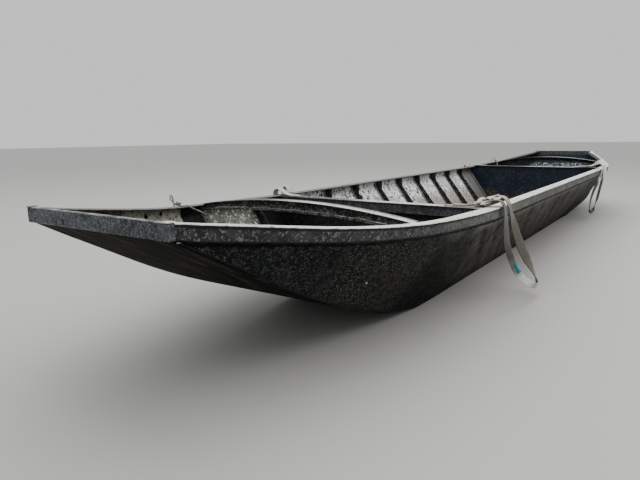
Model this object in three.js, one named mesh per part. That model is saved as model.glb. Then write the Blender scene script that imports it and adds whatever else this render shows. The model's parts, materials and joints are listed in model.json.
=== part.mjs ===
// Flat-bottomed steel work scow. Units are millimetres, +Z is up, the bow points to -X, port is -Y,
// and the origin is on the ground under the middle of the hull.
import * as THREE from "three";

// Driving dimensions.
const BOTTOM_T = 6;            // bottom plate
const SIDE_T = 6;              // side plate, measured across the boat
const CAP_T = 6;               // flat strip on top of the gunwale
const BAND_T = 7;              // upright flange outside the side plate
const RIM_OUT = 3;             // the flat strip stands this far outside the flange
const RIM_T = 8;               // its thickness there
const FIT = 0.4;               // clearance of a piece that is cut to the hull's inside
const FLAT_END = 1780;         // the bottom is level between -FLAT_END and FLAT_END
const SEAM = 1430;             // upright seams of the side plates
const HULL_END = 3252;         // end of the plating
const SHAPED_FROM = 1780;      // beyond this the hull has a station at every STATION_STEP
const STATION_STEP = 40;
const BOARD_T = 20;            // end board
const BOARD_LOW = 565;
const BOARD_TOP = 613;
const BOARD_HALF = 325;

// Half sections of the hull, outside sizes, with the fore and the after half side by side: gunwale half
// breadth and height, chine half breadth and height, depth of the upright flange, width of the flat strip.
const COLUMNS = [
  "x", "foreY", "aftY", "gunZ", "foreChineY", "aftChineY", "foreChineZ", "aftChineZ", "band", "cap",
];
const HULL = [
  [0, 645, 645, 486, 325, 325, 0, 0, 51, 54],
  [1600, 645, 645, 486, 325, 325, 0, 0, 51, 58],
  [1780, 643, 649, 488, 321, 333, 0, 0, 48, 60],
  [1900, 640, 651, 491, 322, 340, 16, 15, 47, 60],
  [2000, 633, 651, 493, 324, 355, 35, 33, 47, 56],
  [2100, 623, 646, 495, 327, 373, 57, 54, 47, 50],
  [2320, 597, 616, 504, 336, 409, 126, 100, 46, 46],
  [2440, 568, 591, 510, 340, 420, 169, 125, 46, 48],
  [2560, 534, 560, 519, 344, 426, 215, 156, 48, 52],
  [2680, 499, 526, 531, 347, 425, 265, 202, 48, 58],
  [2800, 463, 486, 546, 349, 413, 321, 264, 48, 66],
  [2920, 422, 442, 562, 346, 394, 383, 335, 48, 70],
  [3040, 381, 396, 579, 340, 369, 447, 412, 48, 68],
  [3140, 350, 360, 593, 331, 345, 499, 482, 47, 62],
  [3252, 325, 326, 611, 316, 317, 559, 559, 45, 52],
].map((row) => Object.fromEntries(row.map((value, i) => [COLUMNS[i], value])));

// Frames.
const RIB_SPACING = 349;
const RIB_COUNT = 8;
const RIB_SHIFT = 70;          // the ribs stand this far aft of even places about the middle
const RIB_T = 8;
const RIB_DEEP = 46;
const FLOOR_BAR_H = 50;
const END_RIB_X = 1880;        // rib between the cross-beam and the arched beam
const BULKHEAD_X = { fore: -1655, aft: 1690 };  // faces towards the hold
const BULKHEAD_T = 5;
const BEAM_X = { fore: -1685, aft: 1720 };      // faces that look away from the hold
const BEAM_FLANGE = 50;
const BEAM_DEEP = 50;
const BEAM_T = 6;
const BEAM_TOP = { fore: 485, aft: 497 };
const ARCH_X = { fore: -2320, aft: 2520 };
const ARCH_CAMBER = { fore: 46, aft: 50 };
const ARCH_SKEW = { fore: CAP_T + FIT, aft: 0 }; // its starboard end stands higher and its port end lower
const ARCH_FLANGE = 50;
const FLANGE_NOSE = 7;         // flanges of the beams stand this far outside their webs
const ARCH_DEEP_END = 24;
const ARCH_DEEP_MID = 38;
const ARCH_LIP = 28;
const KNEE_W = 150;            // broad side plates beside the arched beams
const KNEE_T = 10;

const STEEL = { color: 0x2b2e30, roughness: 0.7, metalness: 0.6 };
const FINISH = {
  bottom: { color: 0x2c2621, roughness: 0.8, metalness: 0.4 },
  side: { color: 0x24272a, roughness: 0.65, metalness: 0.5 },
  trim: { color: 0x8d8f8c, roughness: 0.6, metalness: 0.6 },
  band: { color: 0x4a4d4e, roughness: 0.65, metalness: 0.5 },
  inner: { color: 0x1d242c, roughness: 0.7, metalness: 0.4 },
  frame: STEEL,
  sling: { color: 0xa9a294, roughness: 0.9, metalness: 0 },
  rope: { color: 0x7b6a52, roughness: 0.95, metalness: 0 },
};

const group = new THREE.Group();
group.name = "scow";

const SIDES = [{ name: "port", sign: -1 }, { name: "starboard", sign: 1 }];
const ENDS = [{ name: "fore", sign: -1 }, { name: "aft", sign: 1 }];

function lerp(a, b, t) {
  return a + (b - a) * t;
}

function steepness(i, key) {
  return (HULL[i][key] - HULL[i - 1][key]) / (HULL[i].x - HULL[i - 1].x);
}

// Slope of a table column at a row: level next to a level stretch, else the harmonic mean of both sides.
function slopeAt(i, key) {
  if (i === 0) return 0;
  if (i === HULL.length - 1) return steepness(i, key);
  const before = steepness(i, key);
  const after = steepness(i + 1, key);
  return before * after <= 0 ? 0 : (2 * before * after) / (before + after);
}

// Half section at a station, on smooth curves through the rows of the table.
function hullAt(x) {
  const d = Math.min(Math.abs(x), HULL_END);
  let i = 1;
  while (HULL[i].x < d) i += 1;
  const span = HULL[i].x - HULL[i - 1].x;
  const t = (d - HULL[i - 1].x) / span;
  const at = (key) => {
    const from = HULL[i - 1][key] * (1 + 2 * t) * (1 - t) ** 2 + HULL[i][key] * t * t * (3 - 2 * t);
    return from + span * (slopeAt(i - 1, key) * t * (1 - t) ** 2 - slopeAt(i, key) * t * t * (1 - t));
  };
  const half = x < 0 ? "fore" : "aft";
  const s = { gunY: at(`${half}Y`), gunZ: at("gunZ"), band: at("band") };
  s.chineY = at(`${half}ChineY`);
  s.chineZ = at(`${half}ChineZ`);
  s.capY = s.gunY - at("cap");
  s.kneeY = s.gunY - BAND_T;
  s.kneeZ = s.gunZ - s.band;
  s.flare = (s.kneeY - s.chineY) / (s.kneeZ - s.chineZ);
  s.floorZ = s.chineZ + BOTTOM_T;
  s.topZ = s.gunZ - CAP_T;
  return s;
}

// Half breadth of the hull's inside at a height of a section.
function insideY(s, z) {
  const y = z < s.kneeZ ? s.chineY + s.flare * (z - s.chineZ) : s.kneeY;
  return y - SIDE_T;
}

// Stations of a lengthwise piece: a closer row where the hull is shaped, and one at each face of a frame.
function stations(from, to) {
  const all = [-1600, 1600];
  for (let x = SHAPED_FROM; x < HULL_END; x += STATION_STEP) all.push(-x, x);
  for (const { name, sign } of ENDS) {
    all.push(BULKHEAD_X[name], BULKHEAD_X[name] + sign * BULKHEAD_T);
    all.push(sign * (END_RIB_X - RIB_T / 2), sign * (END_RIB_X + RIB_T / 2));
    all.push(ARCH_X[name], ARCH_X[name] + sign * KNEE_W);
  }
  const inside = all.filter((x) => x > from + 2 && x < to - 2).sort((a, b) => a - b);
  return [from, ...inside.filter((x, i) => i === 0 || x - inside[i - 1] > 2), to];
}

function signedVolume(points, faces) {
  let volume = 0;
  for (const [a, b, c] of faces) {
    volume += points[a].dot(new THREE.Vector3().crossVectors(points[b], points[c]));
  }
  return volume;
}

// Closed solid between sections that all have the same number of corners.
function loft(sections) {
  const n = sections[0].length;
  const points = sections.flat();
  const faces = [];
  for (let k = 0; k + 1 < sections.length; k += 1) {
    for (let i = 0; i < n; i += 1) {
      const j = (i + 1) % n;
      const a = k * n + i;
      const b = k * n + j;
      faces.push([a, b, b + n], [a, b + n, a + n]);
    }
  }
  const last = (sections.length - 1) * n;
  for (const [p, q, r] of capFaces(sections[0])) faces.push([r, q, p]);
  for (const [p, q, r] of capFaces(sections.at(-1))) faces.push([last + p, last + q, last + r]);
  if (signedVolume(points, faces) < 0) faces.forEach((face) => face.reverse());
  const geometry = new THREE.BufferGeometry();
  geometry.setFromPoints(points);
  geometry.setIndex(faces.flat());
  geometry.computeVertexNormals();
  return geometry;
}

// Triangles of one end outline, turned the way the walls of the loft expect.
function capFaces(outline) {
  const normal = new THREE.Vector3();
  outline.forEach((p, i) => {
    normal.add(new THREE.Vector3().crossVectors(p, outline[(i + 1) % outline.length]));
  });
  normal.normalize();
  const across = outline[1].clone().sub(outline[0]).normalize();
  const up = new THREE.Vector3().crossVectors(normal, across);
  const flat = outline.map((p) => new THREE.Vector2(p.dot(across), p.dot(up)));
  return THREE.ShapeUtils.triangulateShape(flat, []);
}

function yz(x, outline) {
  return outline.map(([y, z]) => new THREE.Vector3(x, y, z));
}

function along(xs, outlineAt) {
  return loft(xs.map((x) => yz(x, outlineAt(hullAt(x), x))));
}

function add(name, geometry, finish) {
  const mesh = new THREE.Mesh(geometry, new THREE.MeshStandardMaterial(FINISH[finish]));
  mesh.name = name;
  group.add(mesh);
}

function bottomOutline(s) {
  const out = s.chineY + s.flare * BOTTOM_T;
  return [[-s.chineY, s.chineZ], [s.chineY, s.chineZ], [out, s.floorZ], [-out, s.floorZ]];
}

function sideOutline(s, sign) {
  const low = s.chineY + s.flare * BOTTOM_T;
  return [
    [low, s.floorZ], [s.kneeY, s.kneeZ], [s.kneeY, s.topZ],
    [s.kneeY - SIDE_T, s.topZ], [s.kneeY - SIDE_T, s.kneeZ], [low - SIDE_T, s.floorZ],
  ].map(([y, z]) => [y * sign, z]);
}

// Angle bar round the gunwale: the upright flange outside the plate and the flat strip on its edge.
function gunwaleOutline(s, sign) {
  const rim = s.gunY + RIM_OUT;
  return [
    [s.gunY, s.kneeZ], [s.gunY, s.gunZ - RIM_T], [rim, s.gunZ - RIM_T], [rim, s.gunZ], [s.capY, s.gunZ],
    [s.capY, s.topZ], [s.kneeY, s.topZ], [s.kneeY, s.kneeZ],
  ].map(([y, z]) => [y * sign, z]);
}

function addPlating() {
  const strakes = [
    { name: "bow", from: -HULL_END, to: -FLAT_END, seamFrom: -HULL_END, seamTo: -SEAM },
    { name: "mid", from: -FLAT_END, to: FLAT_END, seamFrom: -SEAM, seamTo: SEAM },
    { name: "stern", from: FLAT_END, to: HULL_END, seamFrom: SEAM, seamTo: HULL_END },
  ];
  for (const s of strakes) {
    add(`bottom_${s.name}`, along(stations(s.from, s.to), bottomOutline), "bottom");
    for (const side of SIDES) {
      const outline = (section) => sideOutline(section, side.sign);
      add(`side_${side.name}_${s.name}`, along(stations(s.seamFrom, s.seamTo), outline), "side");
    }
  }
  for (const side of SIDES) {
    const outline = (section) => gunwaleOutline(section, side.sign);
    add(`gunwale_${side.name}_bow`, along(stations(-HULL_END, 0), outline), "trim");
    add(`gunwale_${side.name}_stern`, along(stations(0, HULL_END), outline), "trim");
  }
}

function addEndBoards() {
  for (const end of [{ name: "bow", sign: -1 }, { name: "stern", sign: 1 }]) {
    const box = new THREE.BoxGeometry(BOARD_T, 2 * BOARD_HALF, BOARD_TOP - BOARD_LOW);
    box.translate(end.sign * (HULL_END + BOARD_T / 2), 0, (BOARD_TOP + BOARD_LOW) / 2);
    add(`end_board_${end.name}`, box, "band");
  }
}

function ribOutline(s, sign, lowZ) {
  const turnZ = s.kneeZ - RIB_DEEP * 0.32;
  const lowY = insideY(s, lowZ) - FIT;
  const outY = s.kneeY - SIDE_T - FIT;
  return [
    [lowY, lowZ], [outY, s.kneeZ], [outY, s.topZ],
    [outY - RIB_DEEP, s.topZ], [outY - RIB_DEEP, turnZ], [lowY - RIB_DEEP * 1.2, lowZ],
  ].map(([y, z]) => [y * sign, z]);
}

function floorBarOutline(s) {
  const lowY = insideY(s, s.floorZ) - FIT;
  const topZ = s.floorZ + FLOOR_BAR_H;
  const topY = insideY(s, topZ) - FIT;
  return [[-lowY, s.floorZ], [lowY, s.floorZ], [topY, topZ], [-topY, topZ]];
}

function addHoldFrames() {
  for (let i = 0; i < RIB_COUNT; i += 1) {
    const x = (i - (RIB_COUNT - 1) / 2) * RIB_SPACING + RIB_SHIFT;
    const faces = [x - RIB_T / 2, x + RIB_T / 2];
    add(`floor_bar_${i + 1}`, along(faces, floorBarOutline), "frame");
    for (const side of SIDES) {
      const outline = (s) => ribOutline(s, side.sign, s.floorZ + FLOOR_BAR_H);
      add(`rib_${side.name}_${i + 1}`, along(faces, outline), "frame");
    }
  }
}

function addEndRibs() {
  for (const end of ENDS) {
    const x = end.sign * END_RIB_X;
    for (const side of SIDES) {
      const outline = (s) => ribOutline(s, side.sign, s.floorZ + FIT);
      add(`end_rib_${side.name}_${end.name}`, along([x - RIB_T / 2, x + RIB_T / 2], outline), "frame");
    }
  }
}

function bulkheadOutline(s, top) {
  const half = [
    [insideY(s, s.floorZ) - FIT, s.floorZ],
    [s.kneeY - SIDE_T - FIT, s.kneeZ],
    [s.kneeY - SIDE_T - FIT, s.topZ - FIT],
    [s.capY - FIT, s.topZ - FIT],
    [s.capY - FIT, top],
  ];
  return [...half, ...half.map(([y, z]) => [-y, z]).reverse()];
}

function addBulkheads() {
  for (const end of ENDS) {
    const x = BULKHEAD_X[end.name];
    const faces = [x, x + end.sign * BULKHEAD_T];
    const outline = (s) => bulkheadOutline(s, BEAM_TOP[end.name] - BEAM_T);
    add(`bulkhead_${end.name}`, along(faces, outline), "inner");
  }
}

// Angle bar across the hold's end: its web looks away from the hold and its flange lies over the bulkhead.
function addCrossBeams() {
  for (const end of ENDS) {
    const outer = BEAM_X[end.name];
    const top = BEAM_TOP[end.name];
    const inner = outer - end.sign * BEAM_FLANGE;
    const web = outer - end.sign * BEAM_T;
    const under = top - BEAM_T;
    const nose = outer + end.sign * FLANGE_NOSE;
    const outline = [
      [outer, top - BEAM_DEEP], [outer, under], [nose, under], [nose, top],
      [inner, top], [inner, under], [web, under], [web, top - BEAM_DEEP],
    ];
    const half = hullAt(outer).capY - FIT;
    const section = (y) => outline.map(([x, z]) => new THREE.Vector3(x, y, z));
    add(`cross_beam_${end.name}`, loft([section(-half), section(half)]), "frame");
  }
}

// Arched beam: flange on top, web on the side away from the hold, and a lip along the web's lower edge.
// Its ends follow the inner edge of the gunwale's strip. Across runs from -1 to 1.
function archSection(across, x, { name, sign }) {
  const rise = 1 - across ** 2;
  const top = hullAt(x).gunZ + ARCH_CAMBER[name] * rise + ARCH_SKEW[name] * across;
  const under = top - BEAM_T;
  const low = top - lerp(ARCH_DEEP_END, ARCH_DEEP_MID, rise);
  return [
    [0, low], [0, under], [-FLANGE_NOSE, under], [-FLANGE_NOSE, top],
    [ARCH_FLANGE, top], [ARCH_FLANGE, under], [BEAM_T, under],
    [BEAM_T, low - BEAM_T], [-ARCH_LIP, low - BEAM_T], [-ARCH_LIP, low],
  ].map(([u, z]) => {
    const half = hullAt(x - sign * u).capY - FIT;
    return new THREE.Vector3(x - sign * u, across * half, z);
  });
}

function addArches() {
  const steps = 16;
  for (const end of ENDS) {
    const x = ARCH_X[end.name];
    const sections = [];
    for (let i = 0; i <= steps; i += 1) {
      sections.push(archSection(lerp(-1, 1, i / steps), x, end));
    }
    add(`arched_beam_${end.name}`, loft(sections), "frame");
  }
}

// Broad plate that lines the hull's side just outside each arched beam.
function kneeOutline(s, sign) {
  const lowY = insideY(s, s.floorZ) - FIT;
  const outY = s.kneeY - SIDE_T - FIT;
  return [
    [outY, s.topZ], [outY, s.kneeZ], [lowY, s.floorZ],
    [lowY - KNEE_T, s.floorZ], [outY - KNEE_T, s.kneeZ - 3], [outY - KNEE_T, s.topZ],
  ].map(([y, z]) => [y * sign, z]);
}

function addKnees() {
  for (const end of ENDS) {
    const near = ARCH_X[end.name];
    const far = near + end.sign * KNEE_W;
    for (const side of SIDES) {
      const outline = (s) => kneeOutline(s, side.sign);
      const xs = stations(Math.min(near, far), Math.max(near, far));
      add(`knee_plate_${side.name}_${end.name}`, along(xs, outline), "frame");
    }
  }
}

// Each route row: x, y, z of the middle of the webbing, then the direction of its width.
const SLING_W = 45;
const SLING_T = 5;
const ROPE_D = 7;

// Fore port sling: both ends lie on the cross-beam, and the bight hangs outside and leans aft.
const LONG_LOOP = [
  [-1664, -400, 488, 1, 0, 0],
  [-1663, -500, 488, 1, 0, 0],
  [-1658, -548, 491, 1, 0, 0],
  [-1644, -582, 506, 1, 0, 0],
  [-1626, -614, 519, 1, 0, 0],
  [-1612, -642, 516, 1, 0, 0],
  [-1604, -660, 494, 1, 0, 0],
  [-1600, -666, 450, 1, 0, 0],
  [-1594, -671, 380, 0.9, -0.4, 0],
  [-1588, -681, 300, 0.75, -0.65, 0.1],
  [-1570, -700, 228, 0.65, -0.75, 0.15],
  [-1530, -720, 164, 0.6, -0.7, 0.4],
  [-1456, -739, 112, 0.5, -0.5, 0.7],
  [-1368, -753, 72, 0.3, -0.5, 0.8],
  [-1314, -759, 58, -0.2, -0.5, 0.8],
  [-1282, -756, 66, -0.6, -0.4, 0.6],
  [-1278, -746, 96, -0.9, -0.2, 0.1],
  [-1304, -733, 142, -0.95, 0, -0.3],
  [-1356, -714, 204, -0.75, 0.55, -0.35],
  [-1402, -694, 274, -0.7, 0.65, -0.35],
  [-1456, -675, 368, -0.8, 0.45, -0.35],
  [-1506, -668, 440, -0.95, 0, -0.3],
  [-1540, -665, 490, -1, 0, -0.1],
  [-1562, -650, 522, -1, 0, 0],
  [-1580, -622, 533, -1, 0, 0],
  [-1602, -588, 524, -1, 0, 0],
  [-1630, -550, 502, -1, 0, 0],
  [-1650, -505, 494, -1, 0, 0],
  [-1660, -440, 493.7, -1, 0, 0],
];

// After port sling: shorter, and its bight hangs close to the side.
const CLOSE_LOOP = [
  [1694, -400, 500.2, 1, 0, 0],
  [1693, -490, 500.2, 1, 0, 0],
  [1688, -548, 506, 1, 0, 0],
  [1680, -590, 524, 1, 0, 0],
  [1672, -626, 533, 1, 0, 0],
  [1666, -652, 518, 1, 0, 0],
  [1662, -662, 480, 1, 0, 0],
  [1660, -661, 430, 1, 0, 0],
  [1660, -652, 360, 0.9, -0.45, 0],
  [1660, -640, 285, 0.8, -0.6, 0],
  [1658, -629, 215, 0.8, -0.6, 0],
  [1650, -616, 150, 0.9, 0, 0.4],
  [1632, -602, 100, 0.6, 0, 0.8],
  [1602, -592, 76, 0, 0, 1],
  [1572, -586, 92, -0.6, 0, 0.8],
  [1556, -583, 140, -0.9, 0, 0.4],
  [1552, -588, 205, -0.9, 0.3, 0],
  [1556, -602, 275, -0.85, 0.5, 0],
  [1564, -622, 340, -0.85, 0.5, 0],
  [1574, -642, 410, -1, 0, 0],
  [1584, -658, 470, -1, 0, 0],
  [1594, -656, 522, -1, 0, 0],
  [1608, -628, 545, -1, 0, 0],
  [1630, -592, 542, -1, 0, 0],
  [1658, -548, 520, -1, 0, 0],
  [1680, -500, 509, -1, 0, 0],
  [1690, -440, 507, -1, 0, 0],
];

// Fore starboard sling: one turn over the gunwale that stands up a little, with its bight hanging outside.
const SHORT_LOOP = [
  [-1660, 470, 488, 1, 0, 0],
  [-1659, 530, 488.6, 1, 0, 0],
  [-1656, 568, 495, 1, 0, 0],
  [-1653, 602, 513, 1, 0, 0],
  [-1650, 632, 522, 1, 0, 0],
  [-1647, 655, 506, 1, 0, 0],
  [-1645, 662, 450, 1, 0, 0],
  [-1644, 662, 370, 1, 0, 0],
  [-1640, 660, 300, 1, 0, 0],
  [-1628, 658, 246, 0.8, 0, -0.5],
  [-1602, 656, 222, 0.1, 0, -1],
  [-1576, 658, 246, -0.8, 0, -0.5],
  [-1562, 660, 300, -1, 0, 0],
  [-1560, 662, 370, -1, 0, 0],
  [-1562, 662, 450, -1, 0, 0],
  [-1566, 656, 508, -1, 0, 0],
  [-1572, 632, 528, -1, 0, 0],
  [-1578, 608, 510, -1, 0, 0],
  [-1582, 592, 492, -1, 0, 0],
];

// After starboard sling: lies lower on the gunwale.
const LOW_LOOP = [
  [1694, 470, 500.2, 1, 0, 0],
  [1692, 540, 500.6, 1, 0, 0],
  [1686, 580, 504, 1, 0, 0],
  [1678, 615, 508, 1, 0, 0],
  [1670, 642, 506, 1, 0, 0],
  [1664, 659, 486, 1, 0, 0],
  [1661, 663, 440, 1, 0, 0],
  [1659, 662, 370, 1, 0, 0],
  [1652, 660, 310, 1, 0, 0.2],
  [1636, 658, 262, 0.7, 0, 0.7],
  [1608, 656, 242, 0, 0, 1],
  [1580, 658, 262, -0.7, 0, 0.7],
  [1566, 660, 310, -1, 0, 0.2],
  [1562, 662, 370, -1, 0, 0],
  [1560, 663, 440, -1, 0, 0],
  [1556, 659, 488, -1, 0, 0],
  [1548, 642, 507, -1, 0, 0],
  [1538, 618, 505, -1, 0, 0],
  [1530, 598, 492, -1, 0, 0],
];

// A light line that is hitched round the gunwale near an arched beam, with both ends free.
const LIGHT_LINE = [
  [-2385, 488, 474, 0, 0, 1],
  [-2402, 491, 483, 0, 0, 1],
  [-2420, 495, 492, 0, 0, 1],
  [-2437, 499, 501, 0, 0, 1],
  [-2450, 503, 509, 0, 0, 1],
  [-2462, 508, 517, 0, 0, 1],
  [-2474, 516, 516.6, 0, 0, 1],
  [-2487, 529, 517.9, 0, 0, 1],
  [-2500, 541, 524, 0, 0, 1],
  [-2512, 549, 536, 0, 0, 1],
  [-2520, 555, 553, 0, 0, 1],
  [-2511, 563, 564, 0, 0, 1],
  [-2496, 571, 558, 0, 0, 1],
  [-2486, 576, 540, 0, 0, 1],
  [-2481, 578, 518, 1, 0, 0],
  [-2479, 579, 475, 1, 0, 0],
  [-2477, 579, 430, 1, 0, 0],
  [-2475, 579, 385, 1, 0, 0],
];

const SLING = { width: SLING_W, thick: SLING_T, finish: "sling" };
const LINE = { width: ROPE_D, thick: ROPE_D, finish: "rope" };
const SOFT_PARTS = [
  { name: "sling_port_fore", route: LONG_LOOP, flipX: 1, moveX: 0, kind: SLING },
  { name: "sling_port_aft", route: CLOSE_LOOP, flipX: 1, moveX: 0, kind: SLING },
  { name: "sling_starboard_fore", route: SHORT_LOOP, flipX: 1, moveX: 0, kind: SLING },
  { name: "sling_starboard_aft", route: LOW_LOOP, flipX: 1, moveX: 0, kind: SLING },
  { name: "line_starboard_fore", route: LIGHT_LINE, flipX: 1, moveX: 0, kind: LINE },
  { name: "line_starboard_aft", route: LIGHT_LINE, flipX: -1, moveX: -100, kind: LINE },
];

// Flat ring of eight corners that is carried along the route.
function strap(rows, width, thick) {
  const route = rows.map((row) => ({ at: row.slice(0, 3), wide: row.slice(3) }));
  const points = route.map((p) => new THREE.Vector3(...p.at));
  const curve = new THREE.CatmullRomCurve3(points, false, "centripetal");
  const steps = Math.min(78, route.length * 3);
  const sections = [];
  for (let i = 0; i <= steps; i += 1) {
    const t = i / steps;
    const k = Math.min(t * (route.length - 1), route.length - 1 - 1e-6);
    const a = new THREE.Vector3(...route[Math.floor(k)].wide);
    const b = new THREE.Vector3(...route[Math.floor(k) + 1].wide);
    const tangent = curve.getTangent(t);
    const wide = a.lerp(b, k % 1);
    wide.addScaledVector(tangent, -wide.dot(tangent)).normalize();
    const up = new THREE.Vector3().crossVectors(tangent, wide);
    const at = curve.getPoint(t);
    const ring = [];
    for (let j = 0; j < 8; j += 1) {
      const angle = (2 * Math.PI * (j + 0.5)) / 8;
      const p = at.clone().addScaledVector(wide, (Math.cos(angle) * width) / 1.848);
      ring.push(p.addScaledVector(up, (Math.sin(angle) * thick) / 1.848));
    }
    sections.push(ring);
  }
  return loft(sections);
}

function addSoftParts() {
  for (const part of SOFT_PARTS) {
    const rows = part.route.map(([x, y, z, a, b, c]) => {
      const moved = x * part.flipX + part.moveX;
      const out = (hullAt(moved).gunY - hullAt(x).gunY) * Math.sign(y);
      return [moved, y + out, z + hullAt(moved).gunZ - hullAt(x).gunZ, a * part.flipX, b, c];
    });
    add(part.name, strap(rows, part.kind.width, part.kind.thick), part.kind.finish);
  }
}

addPlating();
addEndBoards();
addHoldFrames();
addEndRibs();
addBulkheads();
addCrossBeams();
addArches();
addKnees();
addSoftParts();

export default group;
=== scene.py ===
"""Looks of the flat-bottomed scow: materials, webbing, lines, welds, wear and dirt round the CAD parts.

Metres, in the CAD frame: +X towards the stern, port side at -Y, ground at z = 0.
"""
import bpy
import json
import math
import random
from mathutils import Matrix, Vector, noise
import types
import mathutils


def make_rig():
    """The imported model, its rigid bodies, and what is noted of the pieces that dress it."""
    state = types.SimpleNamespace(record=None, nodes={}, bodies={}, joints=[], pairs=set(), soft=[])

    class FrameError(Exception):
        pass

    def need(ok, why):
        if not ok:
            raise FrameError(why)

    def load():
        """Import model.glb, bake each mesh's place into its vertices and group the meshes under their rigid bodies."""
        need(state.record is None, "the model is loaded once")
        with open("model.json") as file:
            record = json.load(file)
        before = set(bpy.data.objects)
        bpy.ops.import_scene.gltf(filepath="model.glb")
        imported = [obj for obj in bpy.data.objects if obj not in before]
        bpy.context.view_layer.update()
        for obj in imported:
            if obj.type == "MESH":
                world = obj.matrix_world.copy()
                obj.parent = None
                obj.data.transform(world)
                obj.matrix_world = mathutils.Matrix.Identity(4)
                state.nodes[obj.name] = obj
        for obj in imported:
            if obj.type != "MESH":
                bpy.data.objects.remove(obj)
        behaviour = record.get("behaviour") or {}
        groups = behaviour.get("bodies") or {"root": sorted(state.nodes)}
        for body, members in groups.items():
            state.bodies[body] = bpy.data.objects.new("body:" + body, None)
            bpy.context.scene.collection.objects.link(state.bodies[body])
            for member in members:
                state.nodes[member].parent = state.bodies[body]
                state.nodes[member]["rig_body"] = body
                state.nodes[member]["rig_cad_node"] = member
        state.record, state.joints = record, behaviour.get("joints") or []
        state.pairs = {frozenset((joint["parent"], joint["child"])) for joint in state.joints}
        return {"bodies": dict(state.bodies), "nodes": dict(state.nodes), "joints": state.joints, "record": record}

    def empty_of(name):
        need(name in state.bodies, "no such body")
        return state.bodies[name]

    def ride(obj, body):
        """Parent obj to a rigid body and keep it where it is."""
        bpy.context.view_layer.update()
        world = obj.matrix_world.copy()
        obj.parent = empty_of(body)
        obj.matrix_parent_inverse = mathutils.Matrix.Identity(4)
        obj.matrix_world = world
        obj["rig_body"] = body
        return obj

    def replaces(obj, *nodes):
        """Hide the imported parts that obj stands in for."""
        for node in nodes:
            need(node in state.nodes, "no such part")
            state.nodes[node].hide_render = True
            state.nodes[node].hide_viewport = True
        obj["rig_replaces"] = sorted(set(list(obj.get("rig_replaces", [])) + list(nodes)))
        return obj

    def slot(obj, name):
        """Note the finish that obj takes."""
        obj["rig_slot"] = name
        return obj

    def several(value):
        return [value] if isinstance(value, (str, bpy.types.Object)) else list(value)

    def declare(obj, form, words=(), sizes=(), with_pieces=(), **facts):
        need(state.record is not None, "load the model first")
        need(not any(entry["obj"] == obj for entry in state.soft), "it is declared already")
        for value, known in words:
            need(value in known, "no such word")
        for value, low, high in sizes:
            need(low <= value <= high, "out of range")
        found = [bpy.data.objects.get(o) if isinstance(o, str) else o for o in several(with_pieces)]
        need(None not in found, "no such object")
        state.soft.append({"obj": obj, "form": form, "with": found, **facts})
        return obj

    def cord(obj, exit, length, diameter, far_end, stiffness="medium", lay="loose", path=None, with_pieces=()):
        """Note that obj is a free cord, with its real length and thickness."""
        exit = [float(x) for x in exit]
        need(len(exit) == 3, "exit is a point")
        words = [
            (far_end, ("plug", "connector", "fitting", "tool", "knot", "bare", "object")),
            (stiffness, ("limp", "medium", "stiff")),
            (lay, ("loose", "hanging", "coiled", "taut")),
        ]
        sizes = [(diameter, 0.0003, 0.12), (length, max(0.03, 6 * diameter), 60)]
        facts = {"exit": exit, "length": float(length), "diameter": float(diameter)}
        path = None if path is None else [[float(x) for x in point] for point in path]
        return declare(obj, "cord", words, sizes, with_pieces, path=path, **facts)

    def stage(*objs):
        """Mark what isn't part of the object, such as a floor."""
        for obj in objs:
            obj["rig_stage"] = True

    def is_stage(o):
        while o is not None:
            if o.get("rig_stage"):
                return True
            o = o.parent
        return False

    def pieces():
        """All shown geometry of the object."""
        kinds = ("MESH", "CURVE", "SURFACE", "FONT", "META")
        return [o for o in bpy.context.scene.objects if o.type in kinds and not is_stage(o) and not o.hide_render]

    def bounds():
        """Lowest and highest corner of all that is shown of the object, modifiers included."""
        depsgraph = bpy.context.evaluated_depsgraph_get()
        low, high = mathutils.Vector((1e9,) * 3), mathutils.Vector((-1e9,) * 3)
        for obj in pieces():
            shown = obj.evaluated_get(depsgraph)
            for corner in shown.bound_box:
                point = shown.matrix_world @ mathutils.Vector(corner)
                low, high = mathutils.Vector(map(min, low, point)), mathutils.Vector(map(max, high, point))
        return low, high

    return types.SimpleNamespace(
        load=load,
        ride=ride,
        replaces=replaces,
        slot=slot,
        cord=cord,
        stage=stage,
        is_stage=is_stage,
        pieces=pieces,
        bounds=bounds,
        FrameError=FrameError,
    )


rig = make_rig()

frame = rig.load()
CAD_BOX = [list(corner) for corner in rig.bounds()]
NODES = frame["nodes"]
BODY = "root"
MM = 0.001
TURN = 2 * math.pi

# Camera of the photograph, found from the boat's own lines and the paving.
CAMERA_AT = (-4.13, -1.362, 0.813)
CAMERA_HEADING = 34.5  # degrees from +X towards +Y
CAMERA_DOWN = 10.74
CAMERA_ROLL = 0.68
CAMERA_LENS = 30.43

# Hull sizes that the details follow, as in the CAD source.
SIDES = (("port", -1), ("starboard", 1))
SIDE_T = 0.006
BAND_T = 0.007
FLOOR_T = 0.006
HULL_END = 3.252
SEAM = 1.43  # upright seams of the side plates
BULKHEADS = {"fore": (-1.655, -1.66), "aft": (1.69, 1.695)}  # faces towards the hold and away from it
BEAM_X = {"fore": -1.685, "aft": 1.72}
ARCH_X = {"fore": -2.32, "aft": 2.52}
LIP_DROP, LIP_RISE, LIP_SKEW = 0.024, 0.032, 0.0064  # the fore arch's lip under the gunwale
KNEE_W = 0.15
RIB_SPACING = 0.349
FIRST_RIB = -1.1515
RIB_COUNT = 8
RIB_T = 0.008
BEAM_W, ARCH_W, FLANGE_OUT = 0.048, 0.046, 0.004  # of the bars' top flanges, and how far they pass the bar
BOARD_TOP = 0.613
BOARD_FOOT = (0.5635, 0.31)  # height and half length of the weld under an end board
CAP_EDGES = (0.327, 0.304)  # of the cap strip at the hull's ends
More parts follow.
